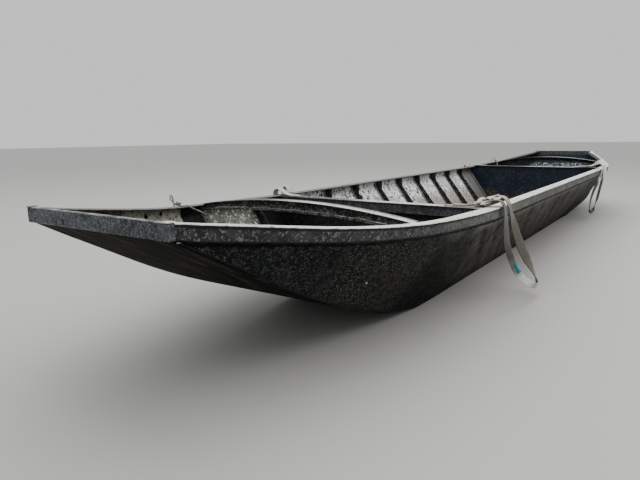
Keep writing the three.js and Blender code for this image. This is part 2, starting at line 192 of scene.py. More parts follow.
HOLD_FOOT = (-1.652, 1.687)  # reach of the welds along the hold's floor
SILT = (1.36, 1.6885, 0.042)  # bank at the hold's aft end: where it is thin and highest, and its height
SILT_CURVE = 1.4
STAGE_HALF = 60

# Half sections of the hull in millimetres: station, fore and aft gunwale half breadth, gunwale height,
# fore and aft chine half breadth, fore and aft chine height, depth of the band, width of the cap strip.
HULL = (
    (0, 645, 645, 486, 325, 325, 0, 0, 51, 54),
    (1600, 645, 645, 486, 325, 325, 0, 0, 51, 58),
    (1780, 643, 649, 488, 321, 333, 0, 0, 48, 60),
    (1900, 640, 651, 491, 322, 340, 16, 15, 47, 60),
    (2000, 633, 651, 493, 324, 355, 35, 33, 47, 56),
    (2100, 623, 646, 495, 327, 373, 57, 54, 47, 50),
    (2320, 597, 616, 504, 336, 409, 126, 100, 46, 46),
    (2440, 568, 591, 510, 340, 420, 169, 125, 46, 48),
    (2560, 534, 560, 519, 344, 426, 215, 156, 48, 52),
    (2680, 499, 526, 531, 347, 425, 265, 202, 48, 58),
    (2800, 463, 486, 546, 349, 413, 321, 264, 48, 66),
    (2920, 422, 442, 562, 346, 394, 383, 335, 48, 70),
    (3040, 381, 396, 579, 340, 369, 447, 412, 48, 68),
    (3140, 350, 360, 593, 331, 345, 499, 482, 47, 62),
    (3252, 325, 326, 611, 316, 317, 559, 559, 45, 52),
)

# Webbing, lines and their marks.
SLING_W, SLING_T = 0.045, 0.006
FOLD_W, FOLD_T = 0.022, 0.006
AFT_FOLD_W = 0.036
CREASED = 0.74  # share of its width that a creased strap keeps
CREASE_FADE = 0.08
PATCH_W = 0.021
PATCH_SHIFT = 0.0075
PATCH_SPAN = (0.363, 0.396)  # shares of the sling's length
SHADE_FADE = 0.035
LINE_D = 0.007
STRAND_PITCH = 0.024
HITCH_AT = 0.44  # share of the line's length

# Places of small marks: stone chips on the port side, and x and z of the holes in the far bow panel.
CHIPS = ((-2.86, -0.428, 0.461), (-2.47, -0.425, 0.29))
HOLES = ((-2.93, 0.512), (-2.8, 0.503), (-2.72, 0.5), (-2.62, 0.498))

# Colours, linear.
BITUMEN = (0.0042, 0.0047, 0.0056)
BITUMEN_BROWN = (0.0062, 0.005, 0.0039)
SHADE_CHARCOAL = (0.0135, 0.0138, 0.0122)
DUST = (0.05, 0.046, 0.038)
DUST_DARK = (0.01, 0.009, 0.0072)
DUST_PALE = (0.125, 0.116, 0.096)
RUST = (0.07, 0.03, 0.014)
RUST_DARK = (0.022, 0.011, 0.007)
CAP_PALE = (0.66, 0.65, 0.6)
CAP_WORN = (0.8, 0.79, 0.75)
HOLD_GREY = (0.88, 0.89, 0.88)
NAVY = (0.0035, 0.0085, 0.018)
CLEAN_WEB = (0.85, 0.84, 0.8)

# Routes of the slings and the fore line, and the slings' crumpled folds. Each row in millimetres: x, y, z of
# the middle, then the direction of the width, which a row without one takes from the row before.
LONG_LOOP = (
    (-1664, -400, 488, 1, 0, 0), (-1663, -500, 488), (-1658, -548, 491), (-1644, -582, 506),
    (-1626, -614, 519), (-1612, -642, 516), (-1604, -660, 494), (-1600, -666, 450),
    (-1594, -671, 380, 0.9, -0.4, 0), (-1588, -681, 300, 0.75, -0.65, 0.1),
    (-1570, -700, 228, 0.65, -0.75, 0.15), (-1530, -720, 164, 0.6, -0.7, 0.4),
    (-1456, -739, 112, 0.5, -0.5, 0.7), (-1368, -753, 72, 0.3, -0.5, 0.8), (-1314, -759, 58, -0.2, -0.5, 0.8),
    (-1282, -756, 66, -0.6, -0.4, 0.6), (-1278, -746, 96, -0.9, -0.2, 0.1),
    (-1304, -733, 142, -0.95, 0, -0.3), (-1356, -714, 204, -0.75, 0.55, -0.35),
    (-1402, -694, 274, -0.7, 0.65, -0.35), (-1456, -675, 368, -0.8, 0.45, -0.35),
    (-1506, -668, 440, -0.95, 0, -0.3), (-1540, -665, 490, -1, 0, -0.1), (-1562, -650, 522, -1, 0, 0),
    (-1580, -622, 533), (-1602, -588, 524), (-1630, -550, 502), (-1650, -505, 494), (-1660, -440, 493.7),
)
CLOSE_LOOP = (
    (1694, -400, 500.2, 1, 0, 0), (1693, -490, 500.2), (1688, -548, 506), (1680, -590, 524),
    (1672, -626, 533), (1666, -652, 518), (1662, -662, 480), (1660, -661, 430),
    (1660, -652, 360, 0.9, -0.45, 0), (1660, -640, 285, 0.8, -0.6, 0), (1658, -629, 215),
    (1650, -616, 150, 0.9, 0, 0.4), (1632, -602, 100, 0.6, 0, 0.8), (1602, -592, 76, 0, 0, 1),
    (1572, -586, 92, -0.6, 0, 0.8), (1556, -583, 140, -0.9, 0, 0.4), (1552, -588, 205, -0.9, 0.3, 0),
    (1556, -602, 275, -0.85, 0.5, 0), (1564, -622, 340), (1574, -642, 410, -1, 0, 0), (1584, -658, 470),
    (1594, -656, 522), (1608, -628, 545), (1630, -592, 542), (1658, -548, 520), (1680, -500, 509),
    (1690, -440, 507),
)
SHORT_LOOP = (
    (-1660, 470, 488, 1, 0, 0), (-1659, 530, 488.6), (-1656, 568, 495), (-1653, 602, 513), (-1650, 632, 522),
    (-1647, 655, 506), (-1645, 662, 450), (-1644, 662, 370), (-1640, 660, 300),
    (-1628, 658, 246, 0.8, 0, -0.5), (-1602, 656, 222, 0.1, 0, -1), (-1576, 658, 246, -0.8, 0, -0.5),
    (-1562, 660, 300, -1, 0, 0), (-1560, 662, 370), (-1562, 662, 450), (-1566, 656, 508), (-1572, 632, 528),
    (-1578, 608, 510), (-1582, 592, 492),
)
LOW_LOOP = (
    (1694, 470, 500.2, 1, 0, 0), (1692, 540, 500.6), (1686, 580, 504), (1678, 615, 508), (1670, 642, 506),
    (1664, 659, 486), (1661, 663, 440), (1659, 662, 370), (1652, 660, 310, 1, 0, 0.2),
    (1636, 658, 262, 0.7, 0, 0.7), (1608, 656, 242, 0, 0, 1), (1580, 658, 262, -0.7, 0, 0.7),
    (1566, 660, 310, -1, 0, 0.2), (1562, 662, 370, -1, 0, 0), (1560, 663, 440), (1556, 659, 488),
    (1548, 642, 507), (1538, 618, 505), (1530, 598, 492),
)
LIGHT_LINE = (
    (-2385, 488, 474, 0, 0, 1), (-2402, 491, 483), (-2420, 495, 492), (-2437, 499, 501), (-2450, 503, 509),
    (-2462, 508, 517), (-2474, 516, 516.6), (-2487, 529, 517.9), (-2500, 541, 524), (-2512, 549, 536),
    (-2520, 555, 553), (-2511, 563, 564), (-2496, 571, 558), (-2486, 576, 540), (-2481, 578, 518, 1, 0, 0),
    (-2479, 579, 475), (-2477, 579, 430), (-2475, 579, 385),
)
INNER_FOLDS = (
    (-1660, -536, 502, 0.4, 1, 0.2), (-1652, -552, 508, 0.5, 0.8, 0.3), (-1634, -562, 514, 0.6, 0.8, 0),
    (-1614, -572, 520, 0.5, 0.8, -0.2), (-1600, -584, 522, 0.2, 1, -0.4), (-1606, -596, 519, 0.4, 0.9, 0),
    (-1628, -598, 513, 0.5, 0.8, 0.3), (-1652, -590, 509, 0.6, 0.7, 0.4), (-1668, -576, 506, 0.3, 0.9, 0.5),
    (-1662, -562, 511, 0.2, 1, 0.2), (-1642, -560, 521, 0.4, 0.9, 0), (-1622, -566, 527),
)
OUTER_FOLDS = (
    (-1640, -596, 526, 0.2, 0.9, 0.3), (-1622, -604, 532, 0.3, 0.9, 0), (-1604, -612, 535, 0.2, 0.9, -0.3),
    (-1592, -622, 535, 0, 0.8, -0.5), (-1600, -631, 528, -0.2, 0.9, -0.2), (-1618, -629, 526, 0, 1, 0.2),
    (-1632, -619, 526, 0.2, 0.9, 0.3),
)
AFT_FOLDS = (
    (1706, -546, 513, 0.9, 0.3, 0.2), (1698, -570, 521, 0.7, 0.5, 0.5), (1688, -596, 541, 0.5, 0.5, 0.7),
    (1676, -622, 556, 0.5, 0.2, 0.85), (1664, -648, 548, 0.6, -0.2, 0.75), (1654, -667, 516, 0.5, -0.8, 0.3),
    (1650, -674, 474, 0.6, -0.8, 0), (1651, -673, 440, 0.7, -0.7, 0),
)


def grey(value):
    return value, value, value


def placed(name, data):
    """New object in the scene."""
    thing = bpy.data.objects.new(name, data)
    bpy.context.scene.collection.objects.link(thing)
    return thing


def slope_at(i, k):
    """Slope of a table column at a row, as in the CAD source."""
    def steep(j):
        return (HULL[j][k] - HULL[j - 1][k]) / (HULL[j][0] - HULL[j - 1][0])

    if i == 0:
        return 0.0
    if i == len(HULL) - 1:
        return steep(i)
    before, after = steep(i), steep(i + 1)
    return 0.0 if before * after <= 0 else 2 * before * after / (before + after)


class Section:
    """Half section of the hull at a station, in metres."""

    def __init__(self, x):
        d = min(abs(x) / MM, HULL[-1][0])
        i = next(j for j in range(1, len(HULL)) if HULL[j][0] >= d)
        span = HULL[i][0] - HULL[i - 1][0]
        t = (d - HULL[i - 1][0]) / span

        def at(k):
            low, high = HULL[i - 1][k], HULL[i][k]
            base = low * (1 + 2 * t) * (1 - t) ** 2 + high * t * t * (3 - 2 * t)
            bend = slope_at(i - 1, k) * t * (1 - t) ** 2 - slope_at(i, k) * t * t * (1 - t)
            return (base + span * bend) * MM

        half = 0 if x < 0 else 1
        self.gun_y, self.gun_z = at(1 + half), at(3)
        self.chine_y, self.chine_z = at(4 + half), at(6 + half)
        self.knee_y, self.knee_z = self.gun_y - BAND_T, self.gun_z - at(8)
        self.cap_y = self.gun_y - at(9)
        self.flare = (self.knee_y - self.chine_y) / (self.knee_z - self.chine_z)
        self.floor_z = self.chine_z + FLOOR_T

    def side_y(self, z):
        """Half breadth of the outer face of the side plate at a height."""
        return min(self.chine_y + self.flare * (z - self.chine_z), self.knee_y)

    def inner_y(self, z):
        return self.side_y(z) - SIDE_T


def lip_height(y):
    """Top of the fore arch's lip, as in the CAD source; y is a number or a term."""
    s = Section(ARCH_X["fore"])
    across = y * (1 / s.cap_y)
    return (across * across * -1 + 1) * LIP_RISE + across * LIP_SKEW + (s.gun_z - LIP_DROP)


def make_camera():
    psi, down, roll = (math.radians(a) for a in (CAMERA_HEADING, CAMERA_DOWN, CAMERA_ROLL))
    right = Vector((math.sin(psi), -math.cos(psi), 0))
    ahead = Vector((math.cos(psi), math.sin(psi), 0))

    def axis(a, b, c):
        return right * a + ahead * b + Vector((0, 0, c))

    c, s, cp, sp = math.cos(roll), math.sin(roll), math.cos(down), math.sin(down)
    across = axis(c, -sp * s, -cp * s)
    below = axis(-s, -sp * c, -cp * c)
    data = bpy.data.cameras.new("camera")
    data.lens = CAMERA_LENS
    data.sensor_width = 36
    data.clip_end = 200
    camera = placed("camera", data)
    turn = Matrix((across, -below, -axis(0, cp, -sp))).transposed().to_4x4()
    camera.matrix_world = Matrix.Translation(CAMERA_AT) @ turn
    bpy.context.scene.camera = camera


class Term:
    """A node's output. Sums and products add math nodes; over() and specked() lay colours on a colour."""

    def __init__(self, look, socket):
        self.look = look
        self.socket = socket

    def __add__(self, other):
        return self.look.calc("ADD", self, other)

    def __sub__(self, other):
        return self.look.calc("SUBTRACT", self, other)

    def __mul__(self, other):
        return self.look.calc("MULTIPLY", self, other)

    def __abs__(self):
        return self.look.calc("ABSOLUTE", self)

    def span(self, low, high, to=(0, 1)):
        """Smooth step from low to high."""
        return self.look.node("MapRange", (self, low, high, *to), interpolation_type="SMOOTHSTEP")

    def over(self, mask, color):
        """This colour, with another laid over it where the mask is 1."""
        return self.look.mix(mask, self, color)

    def specked(self, *rows):
        return self.look.specked(self, *rows)


class Tree:
    """The nodes of a material or of the world."""

    def __init__(self, owner):
        owner.use_nodes = True
        self.nodes, self.links = owner.node_tree.nodes, owner.node_tree.links

    def put(self, socket, value):
        if isinstance(value, Term):
            self.links.new(value.socket, socket)
        else:
            socket.default_value = (*value, 1) if socket.type == "RGBA" else value

    def node(self, kind, inputs=(), output=0, **settings):
        """Adds a node; inputs are values in the sockets' order, or by the sockets' names or numbers."""
        node = self.nodes.new("ShaderNode" + kind)
        for name, value in settings.items():
            setattr(node, name, value)
        for key, value in inputs.items() if isinstance(inputs, dict) else enumerate(inputs):
            self.put(node.inputs[key], value)
        return Term(self, node.outputs[output])

    def parts(self, vector):
        node = self.nodes.new("ShaderNodeSeparateXYZ")
        self.put(node.inputs[0], vector)
        return [Term(self, output) for output in node.outputs]


class Look(Tree):
    """A material in the part's own coordinates. A colour is a term or three linear numbers."""

    def __init__(self, name, rough, specular, sheen=0.0):
        self.material = bpy.data.materials.new(name)
        super().__init__(self.material)
        self.shader = self.nodes["Principled BSDF"].inputs
        for key, value in (("Roughness", rough), ("Specular IOR Level", specular), ("Sheen Weight", sheen)):
            self.shader[key].default_value = value
        self.at = self.node("TexCoord", output="Object")
        self.x, self.y, self.z = self.parts(self.at)
        self.nx, self.ny, self.nz = self.parts(self.node("NewGeometry", output="Normal"))
        self.reach = abs(self.x)

    def vector(self, x, y, z):
        return self.node("CombineXYZ", (x, y, z))

    def calc(self, kind, a, b=0):
        return self.node("Math", (a, b), operation=kind)

    def mix(self, mask, a, b):
        return self.node("Mix", {"Factor": mask, 6: a, 7: b}, 2, data_type="RGBA")

    def noise(self, scale, detail=3, rough=0.6, at=None, shift=0):
        place = self.node("Mapping", (at or self.at, (shift, shift * 0.7, shift * 1.3)))
        grain = {"Vector": place, "Scale": scale, "Detail": detail, "Roughness": rough}
        return self.node("TexNoise", grain, "Fac")

    def wobble(self, scale, detail, size, shift=0):
        """Noise about zero."""
        return (self.noise(scale, detail, shift=shift) - 0.5) * size

    def blotches(self, base, patch, scale, low, high, shift):
        return self.mix(self.noise(scale, 5, 0.65, shift=shift).span(low, high), base, patch)

    def specks(self, scale, low, high, shift):
        """Small spots: 1 inside them, and 0 elsewhere."""
        return self.noise(scale, 2, 0.55, shift=shift).span(low, high)

    def specked(self, base, *rows):
        """The colour with specks on it. Each row: scale, low, high, shift, share, colour."""
        for *spots, share, color in rows:
            base = self.mix(self.specks(*spots) * share, base, color)
        return base

    def scratched(self, base, rows, length, width, color, share):
        """The colour with short thin marks on upright faces. Each row: angle in degrees, threshold, shift."""
        along = self.x + self.y
        for angle, low, shift in rows:
            c, s = math.cos(math.radians(angle)), math.sin(math.radians(angle))
            u = (along * c + self.z * s) * (1 / length)
            v = (along * -s + self.z * c) * (1 / width)
            mark = self.noise(1, 1, 0.4, self.vector(u, v, shift + 0.37)).span(low, low + 0.06)
            base = self.mix(mark * share, base, color)
        return base

    def spot(self, centre, radius, soft=0.001):
        """Round mark: 1 inside the radius round a point, and 0 outside."""
        away = self.node("VectorMath", (self.at, centre), "Value", operation="DISTANCE")
        return away.span(radius + soft, radius)

    def profile(self, column):
        """A height or breadth of the section, along the hull."""
        node = self.nodes.new("ShaderNodeFloatCurve")
        self.put(node.inputs["Value"], self.reach * (1 / 3.3))
        points = node.mapping.curves[0].points
        rows = [(x / 3300, column(Section(x * MM))) for x in range(0, 3253, 180)] + [(1, 0.62)]
        points[0].location, points[1].location = rows[0], rows[-1]
        for row in rows[1:-1]:
            points.new(*row)
        for point in points:
            point.handle_type = "AUTO_CLAMPED"
        node.mapping.update()
        return Term(self, node.outputs[0])

    def done(self, color, height=None, depth=0.001, strength=0.8, rough=None):
        """Sets the colour, the bump and a roughness that varies (noise scale, least, most)."""
        self.put(self.shader["Base Color"], color)
        if rough:
            self.put(self.shader["Roughness"], self.noise(rough[0]).span(0.35, 0.7, rough[1:]))
        if height:
            bump = {"Strength": strength, "Distance": depth, "Height": height}
            self.put(self.shader["Normal"], self.node("Bump", bump, "Normal"))
        return self.material


def outer_side(look):
    """Bitumen at the ends, smooth silt-grey amidships, streaks that run down and aft, painted shade where the plate
    turns towards the bow, and a dark seam line with painted shadow under the band.
    """
    blue = look.specked(
        BITUMEN,
        (26, 0.5, 0.66, 1, 0.6, (0.018, 0.021, 0.023)),
        (62, 0.56, 0.66, 3, 0.6, (0.034, 0.038, 0.04)),
        (120, 0.6, 0.66, 13, 0.7, (0.065, 0.07, 0.07)),
        (210, 0.61, 0.67, 7, 0.9, (0.1, 0.1, 0.098)))
    brown = look.blotches(grey(0.0028), BITUMEN_BROWN, 6, 0.45, 0.65, 3).specked(
        (46, 0.56, 0.66, 32, 0.5, (0.02, 0.018, 0.016)),
        (110, 0.57, 0.63, 2, 0.75, (0.045, 0.044, 0.042)),
        (135, 0.6, 0.65, 12, 0.8, (0.075, 0.064, 0.059)),
        (90, 0.61, 0.67, 21, 0.7, (0.018, 0.032, 0.018)),
        (190, 0.6, 0.65, 7, 0.95, (0.16, 0.157, 0.15)))
    wander = look.wobble(3, 4, 0.5)
    sheen = look.blotches((0.0035, 0.0036, 0.0036), (0.0085, 0.0085, 0.0078), 5, 0.42, 0.66, 91)
    dark = (
        look.mix((look.reach + wander).span(2.72, 2.6), blue, brown)
        .over(look.noise(9, 4, shift=31).span(0.52, 0.7) * 0.21, (0.01, 0.0065, 0.005))
        .over((look.reach + wander * 0.4).span(2.2, 2.06), sheen))

    slant = look.x + look.z * 1.76
    streak = look.noise(1, 4, 0.62, look.vector(slant * 8, look.z * 0.9, look.y * 0.5))
    fine = look.noise(1, 3, 0.6, look.vector(slant * 30, look.z * 1.6, look.y * 0.5), 4)
    somewhere = look.noise(3.5, 3, shift=41).span(0.42, 0.6)
    drip_and_rim_shadow = fine.span(0.58, 0.64) * look.z.span(0.02, 0.24) * somewhere
    patch = look.z.span(0.34, 0.42) * look.noise(11, 4, shift=9).span(0.46, 0.58)
    low_edge = look.profile(lambda s: s.knee_z)
    below = low_edge - look.z + look.wobble(16, 4, 0.03, 51)
    washed = below.span(0.055, 0.02) * look.reach.span(1.9, 1.78)
    # Slanted line past which the side plate turns towards the bow; forward of it the colour is painted shade.
    bend_shade_line = look.reach - look.z * 0.9 + look.wobble(2.5, 3, 0.12)
    smooth = (
        look.blotches(DUST, (0.03, 0.028, 0.023), 2, 0.42, 0.72, 5)
        .over(streak.span(0.53, 0.6) * 0.95, DUST_DARK)
        .over(streak.span(0.46, 0.38) * 0.8, DUST_PALE)
        .over(drip_and_rim_shadow * 0.95, (0.007, 0.006, 0.0045))
        .over(fine.span(0.4, 0.33) * 0.1, (0.1, 0.094, 0.08))
        .specked(
            (70, 0.6, 0.68, 2, 0.7, (0.012, 0.01, 0.008)),
            (90, 0.6, 0.68, 8, 0.6, (0.13, 0.125, 0.108)))
        # Painted shade, charcoal, where the side plate turns towards the bow.
        .over(bend_shade_line.span(1.38, 1.5), SHADE_CHARCOAL)
        .over(patch * 0.6, (0.1, 0.098, 0.088))
        .over(washed * 0.85, (0.14, 0.137, 0.124)))
    edge = look.reach - look.z * 1.5 + look.wobble(4, 5, 0.5)
    # Foot of a near-black strip under the band, of uneven height: the seam's dark line together with the band's
    # painted shadow.
    seam_and_shadow_foot = low_edge + look.noise(30, shift=61) * look.reach.span(2.2, 1.2, (-0.02, -0.036))
    color = (
        smooth.over(edge.span(1.42, 1.6), dark)
        .over(look.z.span(0.1, 0) * 0.6, BITUMEN)
        # Near-black strip under the band: dark seam line with painted shadow.
        .over(look.z.span(seam_and_shadow_foot - 0.004, seam_and_shadow_foot) * 0.97, grey(0.0012)))
    for chip in CHIPS:
        color = color.over(look.spot(chip, 0.0045), (0.7, 0.7, 0.68))
    return color


def beyond_hold(look):
    """1 outside the hold's bulkheads, and 0 between them."""
    return look.x.span(-1.657, -1.6585) + look.x.span(1.692, 1.6935)


def hold_side(look):
    """Pale worn paint with dark specks and runs, grime and painted shade beside each rib, and a brown foot."""
    runs = look.noise(1, 4, 0.65, look.vector(look.x * 42, look.y * 8, look.z * 3))
    foot = look.z + look.wobble(6, 4, 0.34)
    rust = look.blotches(RUST, RUST_DARK, 14, 0.44, 0.6, 33).specked(
        (50, 0.58, 0.66, 35, 0.8, (0.15, 0.08, 0.045)), (28, 0.58, 0.68, 36, 0.8, (0.3, 0.26, 0.22)))
    phase = look.calc("FRACT", (look.x + (2 * RIB_SPACING - FIRST_RIB)) * (1 / RIB_SPACING))
    return (
        look.blotches(HOLD_GREY, (0.52, 0.53, 0.52), 7, 0.42, 0.66, 2)
        .over(runs.span(0.54, 0.7) * 0.6, (0.2, 0.19, 0.175))
        .specked(
            (20, 0.58, 0.7, 14, 0.7, (0.2, 0.195, 0.185)),
            (40, 0.57, 0.62, 4, 1, grey(0.022)),
            (70, 0.59, 0.64, 9, 0.95, (0.035, 0.032, 0.03)))
        .over(foot.span(0.36, 0.22) * 0.75, (0.24, 0.17, 0.13))
        .over(foot.span(0.2, 0.09), rust)
        .over((look.x + look.noise(9) * 0.08).span(1.4, 1.46) * 0.88, (0.105, 0.1, 0.093))
        # Beside each rib: a grey stripe forward of it of grime and painted shade, and a dark line of painted shadow at
        # its aft foot.
        .over(phase.span(0.885, 0.905) * 0.85, (0.085, 0.085, 0.08))
        .over(phase.span(0.045, 0.03) * 0.9, grey(0.03)))


def end_side(look):
    """Grey-beige pitted bow panels, dirty grey aft of the fore beam, and near-black navy at the stern."""
    bow = look.blotches((0.48, 0.46, 0.4), (0.16, 0.155, 0.13), 9, 0.45, 0.66, 8).specked(
        (34, 0.56, 0.66, 38, 0.8, (0.07, 0.068, 0.058)))
    mid = look.blotches((0.15, 0.152, 0.13), (0.07, 0.074, 0.062), 7, 0.42, 0.66, 8).specked(
        (48, 0.57, 0.64, 48, 0.8, (0.55, 0.55, 0.51)))
    dark = look.specked((0.004, 0.0045, 0.005), (80, 0.6, 0.67, 28, 0.7, (0.03, 0.031, 0.03)))
    stern = look.blotches((0.012, 0.017, 0.026), (0.03, 0.036, 0.045), 6, 0.45, 0.7, 2).specked(
        (80, 0.6, 0.68, 5, 0.8, (0.09, 0.1, 0.11)))
    ends = (
        bow.over(look.x.span(-2.5, -2.44), mid)
        .specked(
            (70, 0.58, 0.66, 5, 0.85, (0.022, 0.022, 0.02)),
            (95, 0.62, 0.69, 12, 0.9, (0.34, 0.33, 0.29)))
        .over(look.x.span(-1.94, -1.89), dark)
        .over(look.x.span(-0.1, 0.1), stern))
    for x, z in HOLES:
        ends = ends.over(look.spot((x, Section(x).inner_y(z), z), 0.009, 0.002), grey(0.004))
    return ends


def side_look():
    look = Look("side_plate", 0.6, 0.06)
    inside = hold_side(look).over(beyond_hold(look), end_side(look))
    color = inside.over((look.ny * look.y).span(-0.02, 0.02), outer_side(look))
    return look.done(color, look.noise(240) + look.noise(18, 2) * 2, 0.0014, 0.9, (40, 0.48, 0.75))


def bottom_look():
    """Brown-black underside with lengthwise scrapes; rust in the hold, and dark paint in the ends."""
    look = Look("bottom_plate", 0.75, 0.04)
    scrape = look.noise(1, 5, 0.7, look.vector(look.x * 1.6, look.y * 55, look.z * 4))
    gouge = look.noise(1, 3, 0.6, look.vector(look.x * 3, look.y * 30, look.z * 9))
    under = (
        look.mix(scrape.span(0.44, 0.54), (0.0008, 0.0007, 0.0006), (0.006, 0.0048, 0.0038))
        .over(scrape.span(0.55, 0.62) * 0.95, (0.034, 0.028, 0.021))
        .over(look.noise(7, 4, shift=3).span(0.5, 0.62) * 0.6, (0.005, 0.0055, 0.003))
        .over(gouge.span(0.55, 0.62) * 0.9, (0.036, 0.029, 0.022))
        .over(gouge.span(0.47, 0.4) * 0.8, (0.0006, 0.0005, 0.0005)))
    hold = (
        look.blotches(RUST, (0.04, 0.028, 0.02), 6, 0.4, 0.65, 2)
        .specked((90, 0.58, 0.66, 6, 1, (0.15, 0.085, 0.045)))
        .over(look.noise(3, 5).span(0.5, 0.66), (0.12, 0.1, 0.075))
        .specked((30, 0.62, 0.72, 16, 0.6, (0.03, 0.03, 0.022))))
    bow = look.blotches((0.016, 0.0165, 0.015), (0.045, 0.041, 0.033), 5, 0.45, 0.68, 53).specked(
        (40, 0.58, 0.66, 6, 0.7, (0.09, 0.082, 0.068)))
    slope = look.specked(
        (0.02, 0.025, 0.031),
        (30, 0.48, 0.6, 6, 0.8, (0.1, 0.108, 0.114)),
        (46, 0.57, 0.64, 9, 0.9, (0.4, 0.41, 0.41)))
    stern = look.specked((0.009, 0.013, 0.02), (80, 0.6, 0.68, 6, 0.7, (0.06, 0.065, 0.07))).over(
        look.x.span(2.9, 3) * look.x.span(3.13, 3.1), slope)
    inside = hold.over(beyond_hold(look), bow.over(look.x.span(-0.1, 0.1), stern))
    return look.done(inside.over(look.nz.span(0, -0.05), under), look.noise(160, 4) + scrape)


def gunwale_look():
    """Pale worn cap and rim, a scratched band that goes from dark at the bow to grey amidships, a painted shadow under
    the rim, and painted shade on faces that look down.
    """
    look = Look("gunwale_band", 0.55, 0.25)
    nicks = look.specks(55, 0.56, 0.62, 28) * look.specks(6, 0.46, 0.6, 29)
    grimy = look.specked(
        (0.13, 0.125, 0.115),
        (50, 0.5, 0.62, 33, 0.8, (0.06, 0.056, 0.05)),
        (90, 0.6, 0.67, 35, 0.8, (0.4, 0.39, 0.36)))
    tar = look.specked((0.012, 0.015, 0.019), (60, 0.58, 0.66, 73, 0.8, grey(0.12)))
    inset = look.profile(lambda s: s.gun_y) - abs(look.y) + look.wobble(26, 4, 0.012, 71)
    top = (
        look.blotches(CAP_PALE, CAP_WORN, 12, 0.4, 0.65, 1)
        .specked(
            (140, 0.61, 0.69, 3, 0.8, (0.2, 0.17, 0.14)),
            (30, 0.6, 0.74, 8, 0.5, (0.34, 0.3, 0.25)),
            (9, 0.58, 0.7, 18, 0.45, (0.3, 0.28, 0.24)))
        .over(nicks * 0.85, (0.12, 0.11, 0.1))
        .over(look.y.span(-0.15, 0.1), grimy)
        .over(look.x.span(2.5, 2.68) * inset.span(0.016, 0.022), tar))
    plain = (
        look.blotches((0.009, 0.0105, 0.012), (0.03, 0.033, 0.035), 18, 0.44, 0.6, 4)
        .over(look.x.span(-2.75, -2.5),
              look.blotches((0.017, 0.02, 0.021), (0.05, 0.053, 0.052), 16, 0.44, 0.6, 4))
        .over(look.x.span(-2.35, -1.9),
              look.blotches((0.07, 0.07, 0.064), (0.13, 0.128, 0.117), 12, 0.42, 0.62, 6))
        .over(look.x.span(-1.5, -0.9),
              look.blotches((0.05, 0.048, 0.042), (0.11, 0.106, 0.094), 14, 0.42, 0.62, 16)))
    rows = ((62, 0.7, 1), (-48, 0.71, 5), (12, 0.73, 9), (88, 0.73, 13), (35, 0.71, 17))
    low_edge = look.profile(lambda s: s.knee_z)
    rim_top = look.profile(lambda s: s.gun_z)
    worn_to = rim_top - look.noise(24, shift=81) * 0.005
    # Painted shadow under the cap's rim: a dark line on the band's face just below the pale worn top, stronger towards
    # the bow.
    drip_and_rim_shadow = look.z.span(rim_top - 0.015, rim_top - 0.0085) * look.x.span(-1.7, -2.1, (0.35, 0.9))
    face = (
        look.scratched(plain, rows, 0.035, 0.004, (0.17, 0.17, 0.165), 0.6)
        .specked(
            (60, 0.59, 0.65, 2, 0.75, (0.13, 0.132, 0.128)),
            (120, 0.6, 0.66, 42, 0.8, (0.16, 0.16, 0.155)),
            (110, 0.59, 0.66, 22, 0.8, (0.006, 0.006, 0.0065)),
            (45, 0.63, 0.72, 11, 0.6, RUST_DARK))
        .over(look.z.span(low_edge + 0.008, low_edge + 0.002) * 0.9, grey(0.003))
        # Painted shadow under the rim.
        .over(drip_and_rim_shadow, grey(0.003))
        .over(look.z.span(worn_to - 0.0008, worn_to + 0.0004), top))
    # Faces that look up take the pale cap colour; faces that look down are near-black painted shade.
    color = face.over(look.nz.span(0.3, 0.7), top).over(look.nz.span(-0.3, -0.7), grey(0.003))
    return look.done(color, look.noise(200) + look.noise(28, 2), 0.0012, 0.9, (60, 0.42, 0.7))


def board_look():
    """Scratched dark grey end boards with a paler worn top edge."""
    look = Look("end_board", 0.5, 0.25)
    plain = look.blotches((0.024, 0.027, 0.031), (0.066, 0.073, 0.08), 13, 0.42, 0.62, 2)
    rows = ((58, 0.7, 2), (-52, 0.71, 6), (5, 0.73, 10), (84, 0.73, 14))
    face = look.scratched(plain, rows, 0.05, 0.0028, (0.22, 0.23, 0.235), 0.75).specked(
        (110, 0.58, 0.65, 4, 0.8, (0.15, 0.156, 0.163)),
        (200, 0.58, 0.65, 24, 0.8, (0.2, 0.206, 0.21)),
        (80, 0.58, 0.66, 14, 0.85, (0.01, 0.011, 0.012)),
        (170, 0.58, 0.65, 34, 0.8, (0.012, 0.013, 0.014)))
    top = look.blotches((0.07, 0.07, 0.068), (0.26, 0.255, 0.24), 24, 0.42, 0.6, 1)
    color = face.over(look.nz.span(0.4, 0.8), top)
    return look.done(color, look.noise(210) + look.noise(30, 2), 0.0009, 0.8, (60, 0.42, 0.7))


